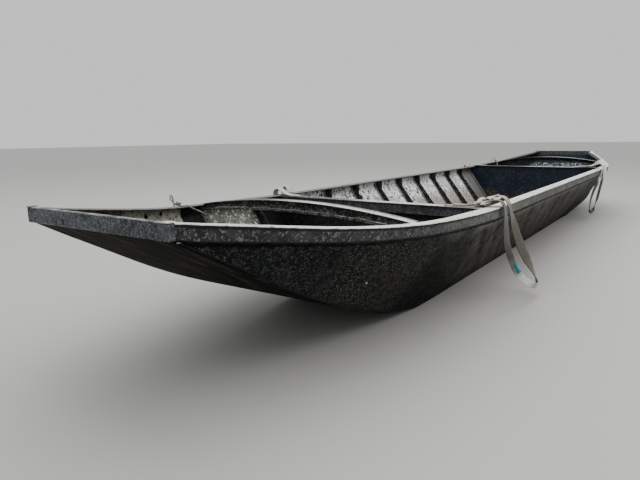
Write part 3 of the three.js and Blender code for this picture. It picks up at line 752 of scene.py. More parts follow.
def bulkhead_look():
    """Near-black navy paint with chips, dull at the fore one, and a brown dirty foot."""
    look = Look("bulkhead", 0.5, 0.3)
    dull = look.specked(
        (0.0065, 0.0068, 0.0068),
        (60, 0.57, 0.65, 23, 0.8, (0.03, 0.03, 0.028)),
        (120, 0.61, 0.68, 25, 0.8, (0.08, 0.078, 0.072)))
    soil = look.specked(
        (0.036, 0.03, 0.026),
        (36, 0.5, 0.58, 43, 0.9, (0.009, 0.008, 0.0075)),
        (50, 0.58, 0.64, 45, 0.85, (0.17, 0.145, 0.12)))
    foot = look.z + look.wobble(7, 5, 0.3)
    color = (
        look.blotches(NAVY, (0.009, 0.017, 0.03), 5, 0.42, 0.7, 3)
        .specked(
            (60, 0.6, 0.67, 3, 0.7, (0.06, 0.072, 0.085)),
            (24, 0.56, 0.7, 13, 0.6, (0.02, 0.028, 0.036)))
        .over(look.x.span(0.1, -0.1), dull)
        .over(foot.span(0.27, 0.2), soil)
        .over(foot.span(0.12, 0.04), (0.07, 0.05, 0.036)))
    return look.done(color, look.noise(150, 4) + look.noise(12, 2))


def lip_soil(look, bar):
    """Pale dried soil splashed up the fore arch's face from its lip."""
    above = look.z - lip_height(look.y) + look.noise(30, shift=4) * 0.012
    face = look.nx.span(-0.4, -0.8) * above.span(0.024, 0.012)
    patches = face * look.noise(24, 5, 0.7, shift=8).span(0.42, 0.52)
    soil = look.mix(look.specks(110, 0.46, 0.58, 14), (0.03, 0.029, 0.025), (0.17, 0.165, 0.145))
    return bar.over(patches * look.y.span(0.5, 0.42), soil)


def frame_look(name, shade, speck=1):
    """Ribs, floor bars, knees and beams: dark bars with pale worn tops and rust at the foot."""
    look = Look(name, 0.6, 0.12)
    deep, light = ([c * shade for c in color] for color in ((0.012, 0.013, 0.0145), (0.03, 0.031, 0.032)))
    rust = look.mix(look.specks(60, 0.5, 0.64, 5), RUST_DARK, RUST)
    bar = (
        look.blotches(deep, light, 16, 0.42, 0.68, 1)
        .specked(
            (60, 0.57, 0.64, 2, 0.9 * speck, (0.1, 0.1, 0.096)),
            (40, 0.58, 0.68, 12, 0.6 * speck, (0.035, 0.022, 0.016)),
            (120, 0.6, 0.67, 22, 0.9 * speck, (0.2, 0.195, 0.185)))
        .over((look.z + look.noise(8) * 0.2).span(0.26, 0.14), rust))
    if name == "arch_bar":
        bar = lip_soil(look, bar)
    fore, aft = ARCH_X["fore"], ARCH_X["aft"]
    inboard = look.x.span(fore + 0.026, fore + 0.03) * look.x.span(fore + 0.08, fore + 0.06)
    lips = look.x.span(fore - 0.0085, fore - 0.0095) + look.x.span(aft + 0.0085, aft + 0.0095)
    worn = look.specked((0.1, 0.095, 0.085), (60, 0.55, 0.65, 19, 0.8, (0.3, 0.29, 0.26)))
    mossy = look.mix(look.noise(22, 4, shift=6).span(0.54, 0.62), grey(0.004), (0.05, 0.048, 0.043))
    top = (
        look.blotches((0.5, 0.49, 0.45), (0.68, 0.67, 0.63), 15, 0.4, 0.66, 7)
        .specked((120, 0.6, 0.68, 9, 0.9, (0.16, 0.15, 0.135)))
        .over(look.calc("MAXIMUM", look.y.span(-0.05, 0.2), inboard * 0.9), worn)
        .over(lips, mossy))
    color = bar.over(look.nz.span(0.6, 0.9) * look.z.span(0.42, 0.47), top)
    return look.done(color, look.noise(180, 4) + look.noise(25, 2))


def strap_look(name, rows, edge_color):
    """Woven webbing. The mesh's UV map runs along and across it in metres; rows give the colour along it."""
    look = Look(name, 0.9, 0.2, sheen=0.2)
    along, across, _ = look.parts(look.node("UVMap"))
    rib = look.calc("SINE", along * (TURN / 0.0032))
    cords = look.calc("SINE", across * (TURN / 0.0045))
    weave = (rib + cords * 0.7) * 0.3
    wander = along + look.wobble(9, 3, 0.12, 2)
    color = rows[0][1]
    for start, shade in rows[1:]:
        color = look.mix(wander.span(start - SHADE_FADE, start + SHADE_FADE), color, shade)
    side = abs(across)
    dash = look.calc("FRACT", along * (1 / 0.006)).span(0.36, 0.42)
    stitch = side.span(0.0148, 0.0154) * side.span(0.0166, 0.016) * dash
    color = (
        color.over(look.noise(14, 5, 0.65).span(0.46, 0.66) * 0.45, edge_color)
        .specked((160, 0.6, 0.7, 3, 0.5, edge_color))
        .over(side.span(0.0195, 0.0212) * 0.6, edge_color)
        .over(stitch * 0.4, (0.5, 0.48, 0.43))
        .over(weave.span(0, -0.5) * 0.7, edge_color))
    return look.done(color, weave + stitch, 0.0006, 0.7)


def line_look():
    """Dirty laid line."""
    look = Look("laid_line", 0.95, 0.2, sheen=0.2)
    fibre = look.noise(420, 2)
    color = look.mix(fibre.span(0.35, 0.65), (0.15, 0.125, 0.1), (0.36, 0.31, 0.26)).specked(
        (60, 0.52, 0.68, 4, 0.7, (0.08, 0.065, 0.052)))
    return look.done(color, fibre, 0.0005)


def weld_look(name, deep, light, rust):
    """Rippled weld metal under old paint, with rust between the ripples."""
    look = Look(name, 0.6, 0.15)
    color = look.blotches(deep, light, 40, 0.42, 0.62, 3).specked((110, 0.58, 0.66, 8, 0.7, rust))
    return look.done(color, look.noise(400), 0.0008, 0.9)


def dirt_look(name, deep, light, grit):
    """Dried silt, soil and crumbs."""
    look = Look(name, 0.95, 0.15)
    color = look.blotches(deep, light, 24, 0.42, 0.62, 3).specked(
        (90, 0.58, 0.66, 8, 0.8, grit), (60, 0.6, 0.68, 18, 0.8, (0.022, 0.018, 0.012)))
    return look.done(color, look.noise(220, 4), 0.0015, 1)


def leaf_look():
    """Dead leaves, from straw to dark brown."""
    look = Look("dead_leaf", 0.85, 0.2)
    color = look.blotches((0.22, 0.13, 0.055), (0.08, 0.042, 0.02), 9, 0.4, 0.6, 3).over(
        look.noise(14, shift=5).span(0.5, 0.62), (0.3, 0.22, 0.11))
    return look.done(color, look.noise(260), 0.0006)


def mark_look():
    """Pale scuffed metal of the rings, scars and small lugs."""
    look = Look("scuffed_metal", 0.5, 0.4)
    color = look.blotches((0.1, 0.103, 0.103), (0.2, 0.2, 0.195), 60, 0.4, 0.62, 3).specked(
        (220, 0.58, 0.66, 8, 1, (0.05, 0.045, 0.04)))
    return look.done(color, look.noise(300), 0.0006)


def patch_look():
    """Blank sewn-on patch of turquoise cloth, dirty at its edges."""
    look = Look("turquoise_cloth", 0.85, 0.2)
    weave = look.noise(700, 1, 0.4)
    color = look.mix(weave.span(0.35, 0.65), (0.01, 0.16, 0.2), (0.02, 0.3, 0.36)).specked(
        (90, 0.54, 0.68, 4, 0.6, (0.16, 0.2, 0.19)))
    return look.done(color, weave, 0.0004, 0.7)


def soften_group():
    """Modifier that joins the faces' shared corners and shades gentle bends smooth."""
    group = bpy.data.node_groups.new("soft_shading", "GeometryNodeTree")
    for way in ("INPUT", "OUTPUT"):
        group.interface.new_socket("Geometry", in_out=way, socket_type="NodeSocketGeometry")
    kinds = ("NodeGroupInput", "GeometryNodeRemoveAttribute", "GeometryNodeMergeByDistance",
             "GeometryNodeSetShadeSmooth", "GeometryNodeSetShadeSmooth", "NodeGroupOutput")
    chain = [group.nodes.new(kind) for kind in kinds]
    for before, after in zip(chain, chain[1:]):
        group.links.new(before.outputs[0], after.inputs[0])
    _, drop, merge, _, edges, _ = chain
    drop.inputs["Name"].default_value = "custom_normal"
    merge.inputs["Distance"].default_value = 0.00002
    edges.domain = "EDGE"
    angle = group.nodes.new("GeometryNodeInputMeshEdgeAngle")
    gentle = group.nodes.new("FunctionNodeCompare")
    gentle.operation = "LESS_THAN"
    gentle.inputs["B"].default_value = math.radians(28)
    group.links.new(angle.outputs["Unsigned Angle"], gentle.inputs["A"])
    group.links.new(gentle.outputs[0], edges.inputs["Shade Smooth"])
    return group


def dress_nodes():
    """Materials and worn edges of the CAD nodes; each row: start of the name, material, edge width."""
    group = soften_group()
    looks = (
        ("bottom_", bottom_look(), 0.001),
        ("side_", side_look(), 0.001),
        ("gunwale_", gunwale_look(), 0.0012),
        ("end_board", board_look(), 0.003),
        ("bulkhead_", bulkhead_look(), 0.0008),
        ("knee_", frame_look("knee_plate", 0.2, 0.25), 0.0012),
        ("cross_", frame_look("beam_bar", 3.2), 0.0012),
        ("arched_", frame_look("arch_bar", 1.0), 0.0012),
        ("", frame_look("rib_bar", 0.8), 0.0012),
    )
    for name in sorted(NODES):
        if name.startswith(("sling", "line")):
            continue
        node = NODES[name]
        material, bevel = next((m, b) for start, m, b in looks if name.startswith(start))
        node.data.materials.clear()
        node.data.materials.append(material)
        node.modifiers.new("soft_shading", "NODES").node_group = group
        rounding = node.modifiers.new("worn_edges", "BEVEL")
        rounding.width = bevel
        rounding.segments = 2
        rounding.limit_method = "ANGLE"
        rounding.angle_limit = math.radians(35)


class Shape:
    """Mesh of one piece that rides with the hull, in the part's frame."""

    def __init__(self):
        self.verts, self.faces, self.uvs = [], [], []

    def loft(self, rings):
        """Adds a closed tube through the rings, with both ends capped."""
        first, count = len(self.verts), len(rings[0])
        for ring in rings:
            self.verts.extend(ring)
        for i in range(len(rings) - 1):
            for j in range(count):
                a, b = first + i * count + j, first + i * count + (j + 1) % count
                self.faces.append((a, b, b + count, a + count))
        self.faces.append(tuple(first + j for j in reversed(range(count))))
        last = first + (len(rings) - 1) * count
        self.faces.append(tuple(last + j for j in range(count)))

    def tube(self, points, radius, sides, laid=False):
        """Adds a closed tube round the points; a laid one has three twisted strands."""
        along, before, rings = 0.0, points[0], []
        for at, side, other in carried(points, Vector((0.3, 0.2, 1.0))):
            along += (at - before).length
            before = at
            ring = []
            for j in range(sides):
                turn = TURN * j / sides
                r = radius * (0.72 + 0.28 * abs(math.cos(1.5 * turn))) if laid else radius
                turn += TURN * along / STRAND_PITCH if laid else 0.0
                ring.append(at + (side * math.cos(turn) + other * math.sin(turn)) * r)
            rings.append(ring)
        self.loft(rings)

    def piece(self, name, material, slot, smooth=True):
        mesh = bpy.data.meshes.new(name)
        mesh.from_pydata(self.verts, [], self.faces)
        mesh.materials.append(material)
        mesh.polygons.foreach_set("use_smooth", [smooth] * len(mesh.polygons))
        if self.uvs:
            layer = mesh.uv_layers.new(name="along_across")
            for loop in mesh.loops:
                layer.data[loop.index].uv = self.uvs[loop.vertex_index]
        mesh.update()
        piece = placed(name, mesh)
        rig.ride(piece, BODY)
        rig.slot(piece, slot)
        return piece


def carried(points, side):
    """Each point with two directions square to the line, carried along it without twist."""
    last = len(points) - 1
    for i, at in enumerate(points):
        ahead = (points[min(i + 1, last)] - points[max(i - 1, 0)]).normalized()
        side = (side - ahead * side.dot(ahead)).normalized()
        yield at, side, ahead.cross(side)


def on_curve(points, t):
    """Point at t, from 0 to 1, on the centripetal curve through the points."""
    last = len(points) - 1
    place = min(max(t, 0.0), 1 - 1e-9) * last
    i = int(place)
    w = place - i
    p1, p2 = points[i], points[i + 1]
    p0 = points[i - 1] if i > 0 else 2 * p1 - p2
    p3 = points[i + 2] if i + 2 <= last else 2 * p2 - p1
    d0, d1, d2 = ((b - a).length ** 0.5 for a, b in ((p0, p1), (p1, p2), (p2, p3)))
    t1 = ((p1 - p0) / d0 - (p2 - p0) / (d0 + d1) + (p2 - p1) / d1) * d1
    t2 = ((p2 - p1) / d1 - (p3 - p1) / (d1 + d2) + (p3 - p2) / d2) * d1
    return p1 + t1 * w + (3 * p2 - 3 * p1 - 2 * t1 - t2) * w * w + (2 * p1 - 2 * p2 + t1 + t2) * w**3


def route_frames(rows, steps):
    """Centre, width direction and thickness direction at each step of a route."""
    points = [Vector(row[:3]) * MM for row in rows]
    wides = []
    for row in rows:
        wides.append(Vector(row[3:]) if len(row) > 3 else wides[-1])
    frames = []
    for i in range(steps + 1):
        t = i / steps
        k = min(t * (len(rows) - 1), len(rows) - 1 - 1e-6)
        tangent = (on_curve(points, t + 1e-4) - on_curve(points, t - 1e-4)).normalized()
        wide = wides[int(k)].lerp(wides[int(k) + 1], k % 1)
        wide = (wide - tangent * wide.dot(tangent)).normalized()
        frames.append((on_curve(points, t), wide, tangent.cross(wide)))
    return frames


def pinched(start, end):
    """Width share along a strap: less than 1 between two lengths, where it is creased."""
    def at(along):
        inside = math.prod(min(max(way / CREASE_FADE, 0), 1) for way in (along - start, end - along))
        return 1 - (1 - CREASED) * inside * inside * (3 - 2 * inside)
    return at


def strap(frames, width, thick, seed, pinch=None):
    """Flat webbing with soft edges, a slight curl and uneven edges."""
    sides, along = 18, 0.0
    shape, rings = Shape(), []
    for i, (at, wide, up) in enumerate(frames):
        along += (at - frames[i - 1][0]).length if i else 0.0
        half = width / 2 * (pinch(along) if pinch else 1.0)
        ring = []
        for j in range(sides):
            angle = TURN * (j + 0.5) / sides
            c, s = math.cos(angle), math.sin(angle)
            across = math.copysign(abs(c) ** 0.45, c) * half
            out = math.copysign(abs(s) ** 0.7, s) * thick / 2
            ripple = noise.noise((along * 22 + seed, across * 30, seed))
            ring.append(at + wide * (across * (1 + 0.05 * ripple)) + up * (out + 0.0011 * ripple))
            shape.uvs.append((along, across))
        rings.append(ring)
    shape.loft(rings)
    return shape


def folds(name, rows, look, seed, width=FOLD_W):
    return strap(route_frames(rows, len(rows) * 9), width, FOLD_T, seed).piece(name, look, "webbing")


def make_patch(frames, look):
    """Small blank patch on the strap's face that looks away from the hull."""
    corners = ((-1, -1), (-0.9, 0), (-1, 1), (0, 1.2), (1, 1), (0.9, 0), (1, -1), (0, -1))
    rings = []
    for at, wide, up in frames:
        face = up if up.dot(Vector(CAMERA_AT) - at) > 0 else -up
        middle = at + face * (SLING_T / 2 + 0.0007) + wide * PATCH_SHIFT
        torn = 0.75 + 0.5 * noise.noise(at * 70)
        rings.append([middle + wide * (a * PATCH_W / 2 * torn) + face * (b * 0.0006) for a, b in corners])
    shape = Shape()
    shape.loft(rings)
    return shape.piece("sling_port_fore_patch", look, "webbing")


def declare(piece, path, diameter, far_end, thin, pieces):
    """Says that a piece is a free cord; thin keeps one in so many points of its path."""
    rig.cord(
        piece,
        exit=tuple(path[0]),
        length=round(sum((b - a).length for a, b in zip(path, path[1:])), 2),
        diameter=diameter,
        far_end=far_end,
        stiffness="limp",
        lay="hanging",
        path=[tuple(p) for p in path[::thin]] + ([tuple(path[-1])] if thin > 1 else []),
        with_pieces=pieces,
    )


def make_sling(name, rows, look, seed, extras=None, pinch=None):
    """One sling; extras(frames) makes the folds and the patch that lie on it."""
    frames = route_frames(rows, 260)
    piece = strap(frames, SLING_W, SLING_T, seed, pinch).piece(name + "_webbing", look, "webbing")
    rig.replaces(piece, name)
    declare(piece, [at for at, _, _ in frames], SLING_W, "object", 1, extras(frames) if extras else [])


def make_slings():
    fore = strap_look("webbing_fore", (
        (0, (0.4, 0.35, 0.32)), (0.26, (0.1, 0.1, 0.09)), (0.5, (0.075, 0.075, 0.068)),
        (0.57, (0.16, 0.157, 0.14)), (0.64, (0.88, 0.87, 0.81)), (0.82, (0.5, 0.49, 0.43)),
        (0.93, (0.13, 0.117, 0.095)), (1.46, (0.4, 0.36, 0.32))), (0.04, 0.036, 0.03))
    aft = strap_look("webbing_aft", (
        (0, CLEAN_WEB), (0.36, (0.05, 0.049, 0.045)), (0.64, (0.12, 0.11, 0.09)),
        (0.74, (0.035, 0.033, 0.03)), (0.82, (0.07, 0.066, 0.056)), (1.08, CLEAN_WEB)), (0.05, 0.045, 0.038))
    far = strap_look("webbing_far", (
        (0, (0.6, 0.55, 0.5)), (0.34, (0.34, 0.32, 0.29)), (0.7, (0.55, 0.5, 0.46))), (0.16, 0.14, 0.115))
    cloth = patch_look()

    def fore_extras(frames):
        low, high = (round(share * (len(frames) - 1)) for share in PATCH_SPAN)
        return [
            folds("sling_port_fore_inner_folds", INNER_FOLDS, far, 11),
            folds("sling_port_fore_outer_folds", OUTER_FOLDS, far, 12),
            make_patch(frames[low:high], cloth),
        ]

    def aft_extras(_):
        return [folds("sling_port_aft_folds", AFT_FOLDS, aft, 13, AFT_FOLD_W)]

    make_sling("sling_port_fore", LONG_LOOP, fore, 1, fore_extras, pinched(0.34, 0.96))
    make_sling("sling_port_aft", CLOSE_LOOP, aft, 2, aft_extras, pinched(0.4, 1.05))
    make_sling("sling_starboard_fore", SHORT_LOOP, far, 3)
    make_sling("sling_starboard_aft", LOW_LOOP, far, 4)


def moved_rows(rows, flip_x, move_x):
    """The route moved along the hull, as the CAD source moves it."""
    moved = []
    for x, y, z, *wide in rows:
        here = x * flip_x + move_x
        old, new = Section(x * MM), Section(here * MM)
        moved.append((here, y + (new.gun_y - old.gun_y) / MM, z + (new.gun_z - old.gun_z) / MM, *wide))
    return moved


def knot_points(at):
    """Stopper knot round a line's end."""
    size = 0.0037
    points = []
    for i in range(91):
        a = TURN * i / 90
        points.append(at + Vector((
            size * math.sin(3 * a), size * (math.sin(a) + 2 * math.sin(2 * a)),
            size * (math.cos(a) - 2 * math.cos(2 * a)))))
    return points


def hitch_points(at, wide, up):
    """Two and a half turns of the line round itself where it crosses the gunwale."""
    along = wide.cross(up).normalized()
    points = []
    for i in range(76):
        a = TURN * 2.5 * i / 75
        points.append(at + Vector((0, 0, LINE_D)) + along * (i / 75 - 0.5) * 0.021
                      + (wide * math.cos(a) + up * math.sin(a)) * 0.0068)
    return points


def make_line(name, rows, look):
    """One laid line with its knot and hitch."""
    frames = route_frames(rows, 460)
    path = [at for at, _, _ in frames]
    pieces = []
    for part, points, radius, sides in (
        ("_laid", path, LINE_D / 2, 18),
        ("_knot", knot_points(path[-1]), LINE_D * 0.47, 9),
        ("_hitch", hitch_points(*frames[round(len(frames) * HITCH_AT)]), LINE_D * 0.45, 9),
    ):
        shape = Shape()
        shape.tube(points, radius, sides, part == "_laid")
        pieces.append(shape.piece(name + part, look, "line_fibre"))
    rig.replaces(pieces[0], name)
    declare(pieces[0], path, LINE_D, "knot", 4, pieces[1:])


def make_lines():
    look = line_look()
    make_line("line_starboard_fore", LIGHT_LINE, look)
    make_line("line_starboard_aft", moved_rows(LIGHT_LINE, -1, -100), look)


class Beads(Shape):
    """Weld beads, collected in one mesh."""

    def __init__(self, seed):
        super().__init__()
        self.seed = seed
        self.draw = random.Random(seed)

    def run(self, place, start, end, radius, step=0.004):
        """One bead along place(t) for t from start to end, where t is a length in metres."""
        count = max(3, round(abs(end - start) / step))
        points = [Vector(place(start + (end - start) * i / count)) for i in range(count + 1)]
        rings = []
        for i, (at, side, other) in enumerate(carried(points, Vector((0.31, 0.17, 0.93)))):
            lump = noise.noise(at * 90 + Vector((self.seed, 0, 0)))
            r = radius * (0.9 + 0.4 * lump + 0.13 * math.sin(i * 1.9)) * (0.45 if i in (0, count) else 1)
            rings.append([
                at + (side * math.cos(TURN * j / 8) + other * math.sin(TURN * j / 8)) * r for j in range(8)])
        self.loft(rings)

    def straight(self, start, end, length, radius):
        """One short bead between two points."""
        self.run(lambda t: start.lerp(end, t / length), 0.0, length, radius, 0.003)

    def ring(self, centre, radius, thick):
        """Thin raised ring in the XZ plane."""
        def place(t):
            return centre + Vector((math.cos(TURN * t / 0.1), 0, math.sin(TURN * t / 0.1))) * radius

        self.run(place, 0.0, 0.1, thick, 0.0032)

    def stitches(self, place, start, end, radius, dash, gap):
        """Interrupted beads with uneven lengths."""
        t = start
        while t < end - dash * 0.3:
            length = dash * self.draw.uniform(0.7, 1.3)
            self.run(place, t, min(t + length, end), radius)
            t += length + gap * self.draw.uniform(0.6, 1.5)


def side_line(sign, height, out=0.0):
    """Place along the side plate's outer face at a height given for each section."""
    def place(x):
        s = Section(x)
        z = height(s)
        return x, sign * (s.side_y(z) + out), z
    return place


def inner_upright(x, sign, off):
    s = Section(x)
    return lambda z: (x, sign * (s.inner_y(z) - off), z)


def make_outer_beads(look):
    for name, sign in SIDES:
        band = Beads(3 + sign)
        under = side_line(sign, lambda s: s.knee_z - 0.0014, 0.0004)
        band.stitches(under, -3.22, 3.22, 0.0034, 0.05, 0.024)
        band.piece(f"band_welds_{name}", look, "frame_steel")
        chine = Beads(7 + sign)
        chine.run(side_line(sign, lambda s: s.floor_z + 0.0005), -3.235, 3.235, 0.0036, 0.006)
        for x in (-SEAM, SEAM):
            s = Section(x)
            chine.run(lambda z: (x, sign * s.side_y(z), z), s.floor_z + 0.01, s.knee_z - 0.004, 0.0022)
        chine.piece(f"chine_welds_{name}", look, "frame_steel")


def make_hold_beads(look):
    for name, sign in SIDES:
        ribs = Beads(13 + sign)
        for i in range(RIB_COUNT):
            for face in (-1, 1):
                x = FIRST_RIB + i * RIB_SPACING + face * (RIB_T / 2 + 0.0008)
                ribs.stitches(inner_upright(x, sign, 0.0008), 0.07, 0.47, 0.0026, 0.045, 0.075)
        foot = Beads(17 + sign)
        foot.run(lambda x: (x, sign * (Section(x).inner_y(0.008) - 0.001), 0.0075), *HOLD_FOOT, 0.0034, 0.006)
        for end, way in (("fore", 1), ("aft", -1)):
            foot.run(inner_upright(BULKHEADS[end][0] + way * 0.0012, sign, 0.001), 0.01, 0.475, 0.003)
        ribs.piece(f"rib_welds_{name}", look, "frame_steel")
        foot.piece(f"hold_welds_{name}", look, "frame_steel")


def make_end_beads(look):
    for name, way in (("fore", -1), ("aft", 1)):
        beads = Beads(23 + way)
        beam, arch = BEAM_X[name], ARCH_X[name]
        bulk = BULKHEADS[name][1] + way * 0.0012
        inside = Section(bulk)
        low = inside.floor_z + 0.001
        beads.run(lambda y: (bulk, y, low), -inside.inner_y(low), inside.inner_y(low), 0.003, 0.006)
        for sign in (-1, 1):
            beads.run(inner_upright(bulk, sign, 0.001), low, 0.47, 0.003)
            for x in (arch - way * 0.0015, arch + way * (KNEE_W + 0.0015)):
                s = Section(x)
                beads.run(inner_upright(x, sign, 0.002), s.floor_z + 0.01, s.gun_z - 0.02, 0.0034)
            beads.run(lambda x: (x, sign * Section(beam).cap_y, Section(x).gun_z + 0.0004),
                      beam - way * BEAM_W, beam + way * FLANGE_OUT, 0.0026)
            beads.run(lambda x: (x, sign * Section(x).cap_y, Section(x).gun_z + 0.0006),
                      arch - way * ARCH_W, arch + way * FLANGE_OUT, 0.003)
        board_x = way * (HULL_END + 0.0008)
        foot_z, foot_y = BOARD_FOOT
        beads.run(lambda y: (board_x, y, foot_z), -foot_y, foot_y, 0.003, 0.005)
        beads.piece(f"frame_welds_{name}", look, "frame_steel")


def make_welds():
    make_outer_beads(weld_look("weld_black", grey(0.0022), (0.007, 0.0065, 0.006), (0.012, 0.008, 0.006)))
    inner = weld_look("weld_grey", grey(0.012), (0.04, 0.038, 0.034), RUST)
    make_hold_beads(inner)
    make_end_beads(inner)


def make_corners():
    """The worn cap strips run on over the end boards, and upright welds join the boards to the bands."""
    ends = (("bow", -1), ("stern", 1))
    look = NODES["gunwale_port_bow"].data.materials[0]
    low, high, top, slant = BOARD_TOP - 0.0005, BOARD_TOP + 0.0012, BOARD_TOP + 0.002, 0.0012
    for end, way in ends:
        caps = Shape()
        for sign in (-1, 1):
            rings = []
            for out, inset in ((-0.004, 0.001), (0, 0), (0.018, 0), (0.0215, 0.0015)):
                y0, y1 = CAP_EDGES[0] - inset, CAP_EDGES[1] + inset
                outline = ((y0, low), (y0, high), (y0 - slant, top), (y1 + slant, top), (y1, high), (y1, low))
                rings.append([Vector((way * (HULL_END + out), sign * y, z)) for y, z in outline])
            caps.loft(rings)
        caps.piece(f"corner_caps_{end}", look, "gunwale_steel", smooth=False)
    look = NODES["end_board_bow"].data.materials[0]
    for end, way in ends:
        beads = Beads(41 + way)
        for sign in (-1, 1):
            beads.run(lambda z: (way * HULL_END, sign * 0.3238, z), 0.566, 0.611, 0.0036)
        beads.piece(f"corner_welds_{end}", look, "frame_steel")


def make_marks():
    """Scars and a small lug on the port band, and burrs round the holes of the far bow panel."""
    beads = Beads(31)

    def band(x, drop):
        s = Section(x)
        return Vector((x, -s.gun_y, s.gun_z - drop))

    for x, drop, radius in ((-3.224, 0.025, 0.0042), (-3.194, 0.028, 0.0034), (-3.03, 0.026, 0.003)):
        beads.ring(band(x, drop), radius, 0.0012)
    # Each row: x and drop below the rim of both ends, length that sets the steps, thickness.
    for x0, d0, x1, d1, length, thick in (
        (-3.163, 0.012, -3.158, 0.04, 0.03, 0.0009), (-2.452, 0.041, -2.432, 0.016, 0.03, 0.0013),
        (-2.438, 0.038, -2.418, 0.013, 0.03, 0.0011), (-2.14, 0.036, -2.128, 0.016, 0.03, 0.0009),
        (-2.9, 0.03, -2.885, 0.018, 0.03, 0.0008), (-3.249, 0.0505, -3.236, 0.0495, 0.02, 0.0022),
    ):
        beads.straight(band(x0, d0), band(x1, d1), length, thick)
    for y, z in ((-0.415, 0.481), (-0.431, 0.458), (-0.396, 0.461)):
        start = Vector((BEAM_X["fore"] - 0.0004, y, z - 0.004))
        beads.straight(start, start + Vector((0, 0.0099, 0.018)), 0.018, 0.0009)
    for x, z in HOLES:
        beads.ring(Vector((x, Section(x).inner_y(z), z)), 0.0095, 0.0013)
    beads.piece("scars_and_burrs", mark_look(), "gunwale_steel")


def crumb(shape, at, size, draw):
    """Small uneven stone or clod."""
    verts, faces, ring = shape.verts, shape.faces, 6
    first = len(verts)
    verts.append(at - Vector((0, 0, size * 0.4)))
    for level, share in ((-0.1, 1.0), (0.45, 0.75)):
        for j in range(ring):
            a = TURN * (j + draw.uniform(-0.2, 0.2)) / ring
            r = size * share * draw.uniform(0.75, 1.2)
            rise = size * level * draw.uniform(0.7, 1.2)
            verts.append(at + Vector((math.cos(a) * r, math.sin(a) * r, rise)))
    verts.append(at + Vector((0, 0, size * 0.62)))
    low, high = first + 1, first + 1 + ring
    for j in range(ring):
        k = (j + 1) % ring
        faces += [(first, low + k, low + j), (low + j, low + k, high + k, high + j),
                  (high + j, high + k, high + ring)]


def leaf(shape, at, size, draw):
    """Thin curled leaf, a closed sheet."""
    turn, bend = draw.uniform(0, TURN), draw.uniform(0.15, 0.5)
    ahead = Vector((math.cos(turn), math.sin(turn), 0))
    across = Vector((-ahead.y, ahead.x, 0))
    # Each row: place across, lift at the edges, and thickness.
    outline = [(-1, 0.35, 0), (-0.5, 0.1, 0), (0, -0.02, 0), (0.5, 0.1, 0), (1, 0.35, 0)]
    outline += [(0.5, 0.1, 0.0007), (0, -0.02, 0.0007), (-0.5, 0.1, 0.0007)]
    rings = []
    for i in range(9):
        t = i / 8
        half = size * 0.3 * math.sin(math.pi * min(0.06 + t * 0.94, 0.97)) ** 0.8
        lift = bend * size * (2 * t - 1) ** 2 * 0.4
        middle = at + ahead * (size * (t - 0.5))
        rings.append([
            middle + across * (u * half) + Vector((0, 0, lift + v * half * 0.6 + 0.0014 + top))
            for u, v, top in outline])
    shape.loft(rings)


def bank(shape, x0, x1, height, seed):
    """Low heap of silt across the hull's floor, highest at x1 and thin at x0."""
    long_steps, cross_steps = 14, 60
    rings = []
    for i in range(long_steps + 1):
        t = i / long_steps
        x = x0 + (x1 - x0) * t
        s = Section(x)
        top, low = [], []
        for j in range(cross_steps + 1):
            v = 2 * j / cross_steps - 1
            lump = noise.noise((x * 9, v * 4, seed)) + 0.5 * noise.noise((x * 40, v * 16, seed))
            h = height * t**SILT_CURVE * (0.55 + 0.45 * v * v + 0.55 * lump)
            z = s.floor_z + max(h, -0.0008)
            top.append(Vector((x, v * (s.inner_y(z) - 0.0005), z)))
            low.append(Vector((x, v * (s.inner_y(s.floor_z) - 0.001), s.floor_z - 0.002)))
        rings.append(top + low[::-1])
    shape.loft(rings[::-1] if x1 > x0 else rings)


def make_lip_soil(look):
    """Soil and moss in patches on the fore arch's lip."""
    draw = random.Random(9)
    shape = Shape()
    reach = Section(ARCH_X["fore"]).cap_y - 0.03
    for _ in range(900):
        y = draw.uniform(-reach, reach)
        dense = noise.noise((y * 11, 3, 0)) + 0.3 * noise.noise((y * 40, 7, 0))
        back = draw.uniform(0.0055, 0.0245)
        size = draw.uniform(0.0022, 0.0052)
        if dense + 0.5 * (0.02 - back) / 0.02 > 0.0:
            heap = 0.0045 * max(dense, 0) * draw.random() / 0.5
            place = Vector((ARCH_X["fore"] - back, y, lip_height(y) + size * 0.3 + heap))
            crumb(shape, place, size, draw)
    shape.piece("arch_soil", look, "hold_paint", smooth=False)


def scattered(draw, count, reach, share, near, margin, sunk):
    """Random places on the hold's floor, some of them on the silt near its aft end."""
    for _ in range(count):
        x = draw.uniform(-reach, reach) if draw.random() < share else draw.uniform(*near)
        s = Section(x)
        y = draw.uniform(-1, 1) * (s.inner_y(s.floor_z) - margin)
        rise = 0.0 if x < 1.4 else SILT[2] * ((x - SILT[0]) / 0.33) ** SILT_CURVE * sunk
        yield Vector((x, y, s.floor_z + rise))


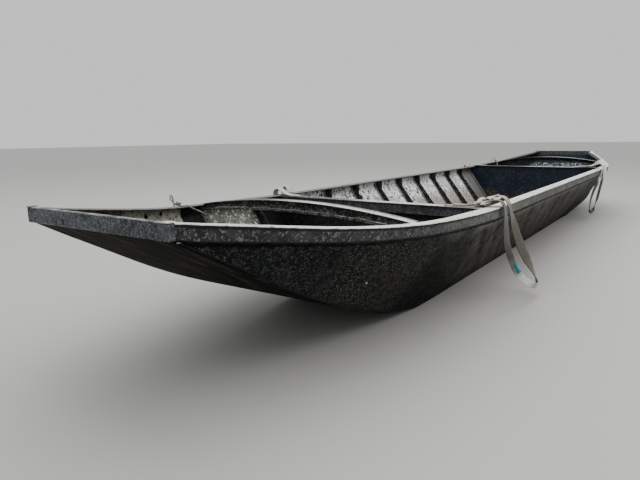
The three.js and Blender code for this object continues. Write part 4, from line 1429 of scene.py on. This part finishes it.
def make_debris():
    look = dirt_look("dried_silt", (0.11, 0.088, 0.062), (0.05, 0.038, 0.027), (0.2, 0.16, 0.11))
    dry = leaf_look()
    make_lip_soil(dirt_look("lip_soil", (0.15, 0.145, 0.125), (0.045, 0.043, 0.037), (0.26, 0.25, 0.22)))
    # Each bank: x where it is thin and where it is highest, its height, and a seed.
    for name, banks in (
        ("hold_silt", ((*SILT, 2), (-1.46, -1.6535, 0.02, 5))),
        ("bay_silt", ((-1.95, -1.662, 0.024, 9), (2.0, 1.697, 0.02, 12))),
    ):
        shape = Shape()
        for row in banks:
            bank(shape, *row)
        shape.piece(name, look, "hold_paint")
    draw = random.Random(5)
    crumbs, leaves = Shape(), Shape()
    for place in scattered(draw, 420, 1.62, 0.6, (1.3, 1.66), 0.02, 0.6):
        size = draw.uniform(0.0025, 0.0075)
        crumb(crumbs, place + Vector((0, 0, size * 0.3)), size, draw)
    crumbs.piece("hold_crumbs", look, "hold_paint", smooth=False)
    for place in scattered(draw, 56, 1.6, 0.5, (1.2, 1.62), 0.05, 0.9):
        leaf(leaves, place, draw.uniform(0.03, 0.06), draw)
    leaves.piece("hold_leaves", dry, "hold_paint")


def make_stage():
    """Pale floor that the boat stands on; it isn't part of the boat."""
    mesh = bpy.data.meshes.new("stage_floor")
    corners = [(x * STAGE_HALF, y * STAGE_HALF, 0) for x, y in ((-1, -1), (1, -1), (1, 1), (-1, 1))]
    mesh.from_pydata(corners, [], [(0, 1, 2, 3)])
    mesh.materials.append(Look("stage_floor", 0.9, 0.1).done((0.43, 0.42, 0.395)))
    floor = placed("stage_floor", mesh)
    floor.location.z = -0.0005
    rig.stage(floor)


def area_light(name, place, target, size, power, tint=(1, 1, 1)):
    data = bpy.data.lights.new(name, "AREA")
    data.energy = power
    data.size = size
    data.color = tint
    light = placed(name, data)
    light.location = place
    light.rotation_mode = "QUATERNION"
    light.rotation_quaternion = (Vector(target) - Vector(place)).to_track_quat("-Z", "Y")


def make_light():
    """Soft overcast light: bright overhead and dimmer near the horizon."""
    world = bpy.data.worlds.new("studio")
    bpy.context.scene.world = world
    sky = Tree(world)
    sky.nodes.remove(sky.nodes["Background"])
    height = sky.parts(sky.node("TexCoord", output="Generated"))[2]
    strength = sky.node("MapRange", (height, 0, 0.8, 0.38, 1.4))
    seen = sky.node("LightPath", output="Is Camera Ray")
    light = sky.node("Background", ((0.94, 0.965, 1), strength))
    backdrop = sky.node("Background", ((0.95, 0.96, 0.97), 0.85))
    sky.put(sky.nodes["World Output"].inputs[0], sky.node("MixShader", (seen, light, backdrop)))
    area_light("key", (-2.5, -4.5, 6.0), (0, 0, 0.2), 5.0, 170, (1, 0.98, 0.95))
    area_light("top", (0.5, 1.0, 7.0), (0.3, 0, 0.2), 8.0, 420)


make_camera()
make_slings()
make_lines()
dress_nodes()
make_welds()
make_corners()
make_marks()
make_debris()
make_stage()
make_light()

with open("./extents.json", "w") as out:
    json.dump({"cad": CAD_BOX, "visual": [list(corner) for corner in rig.bounds()]}, out)
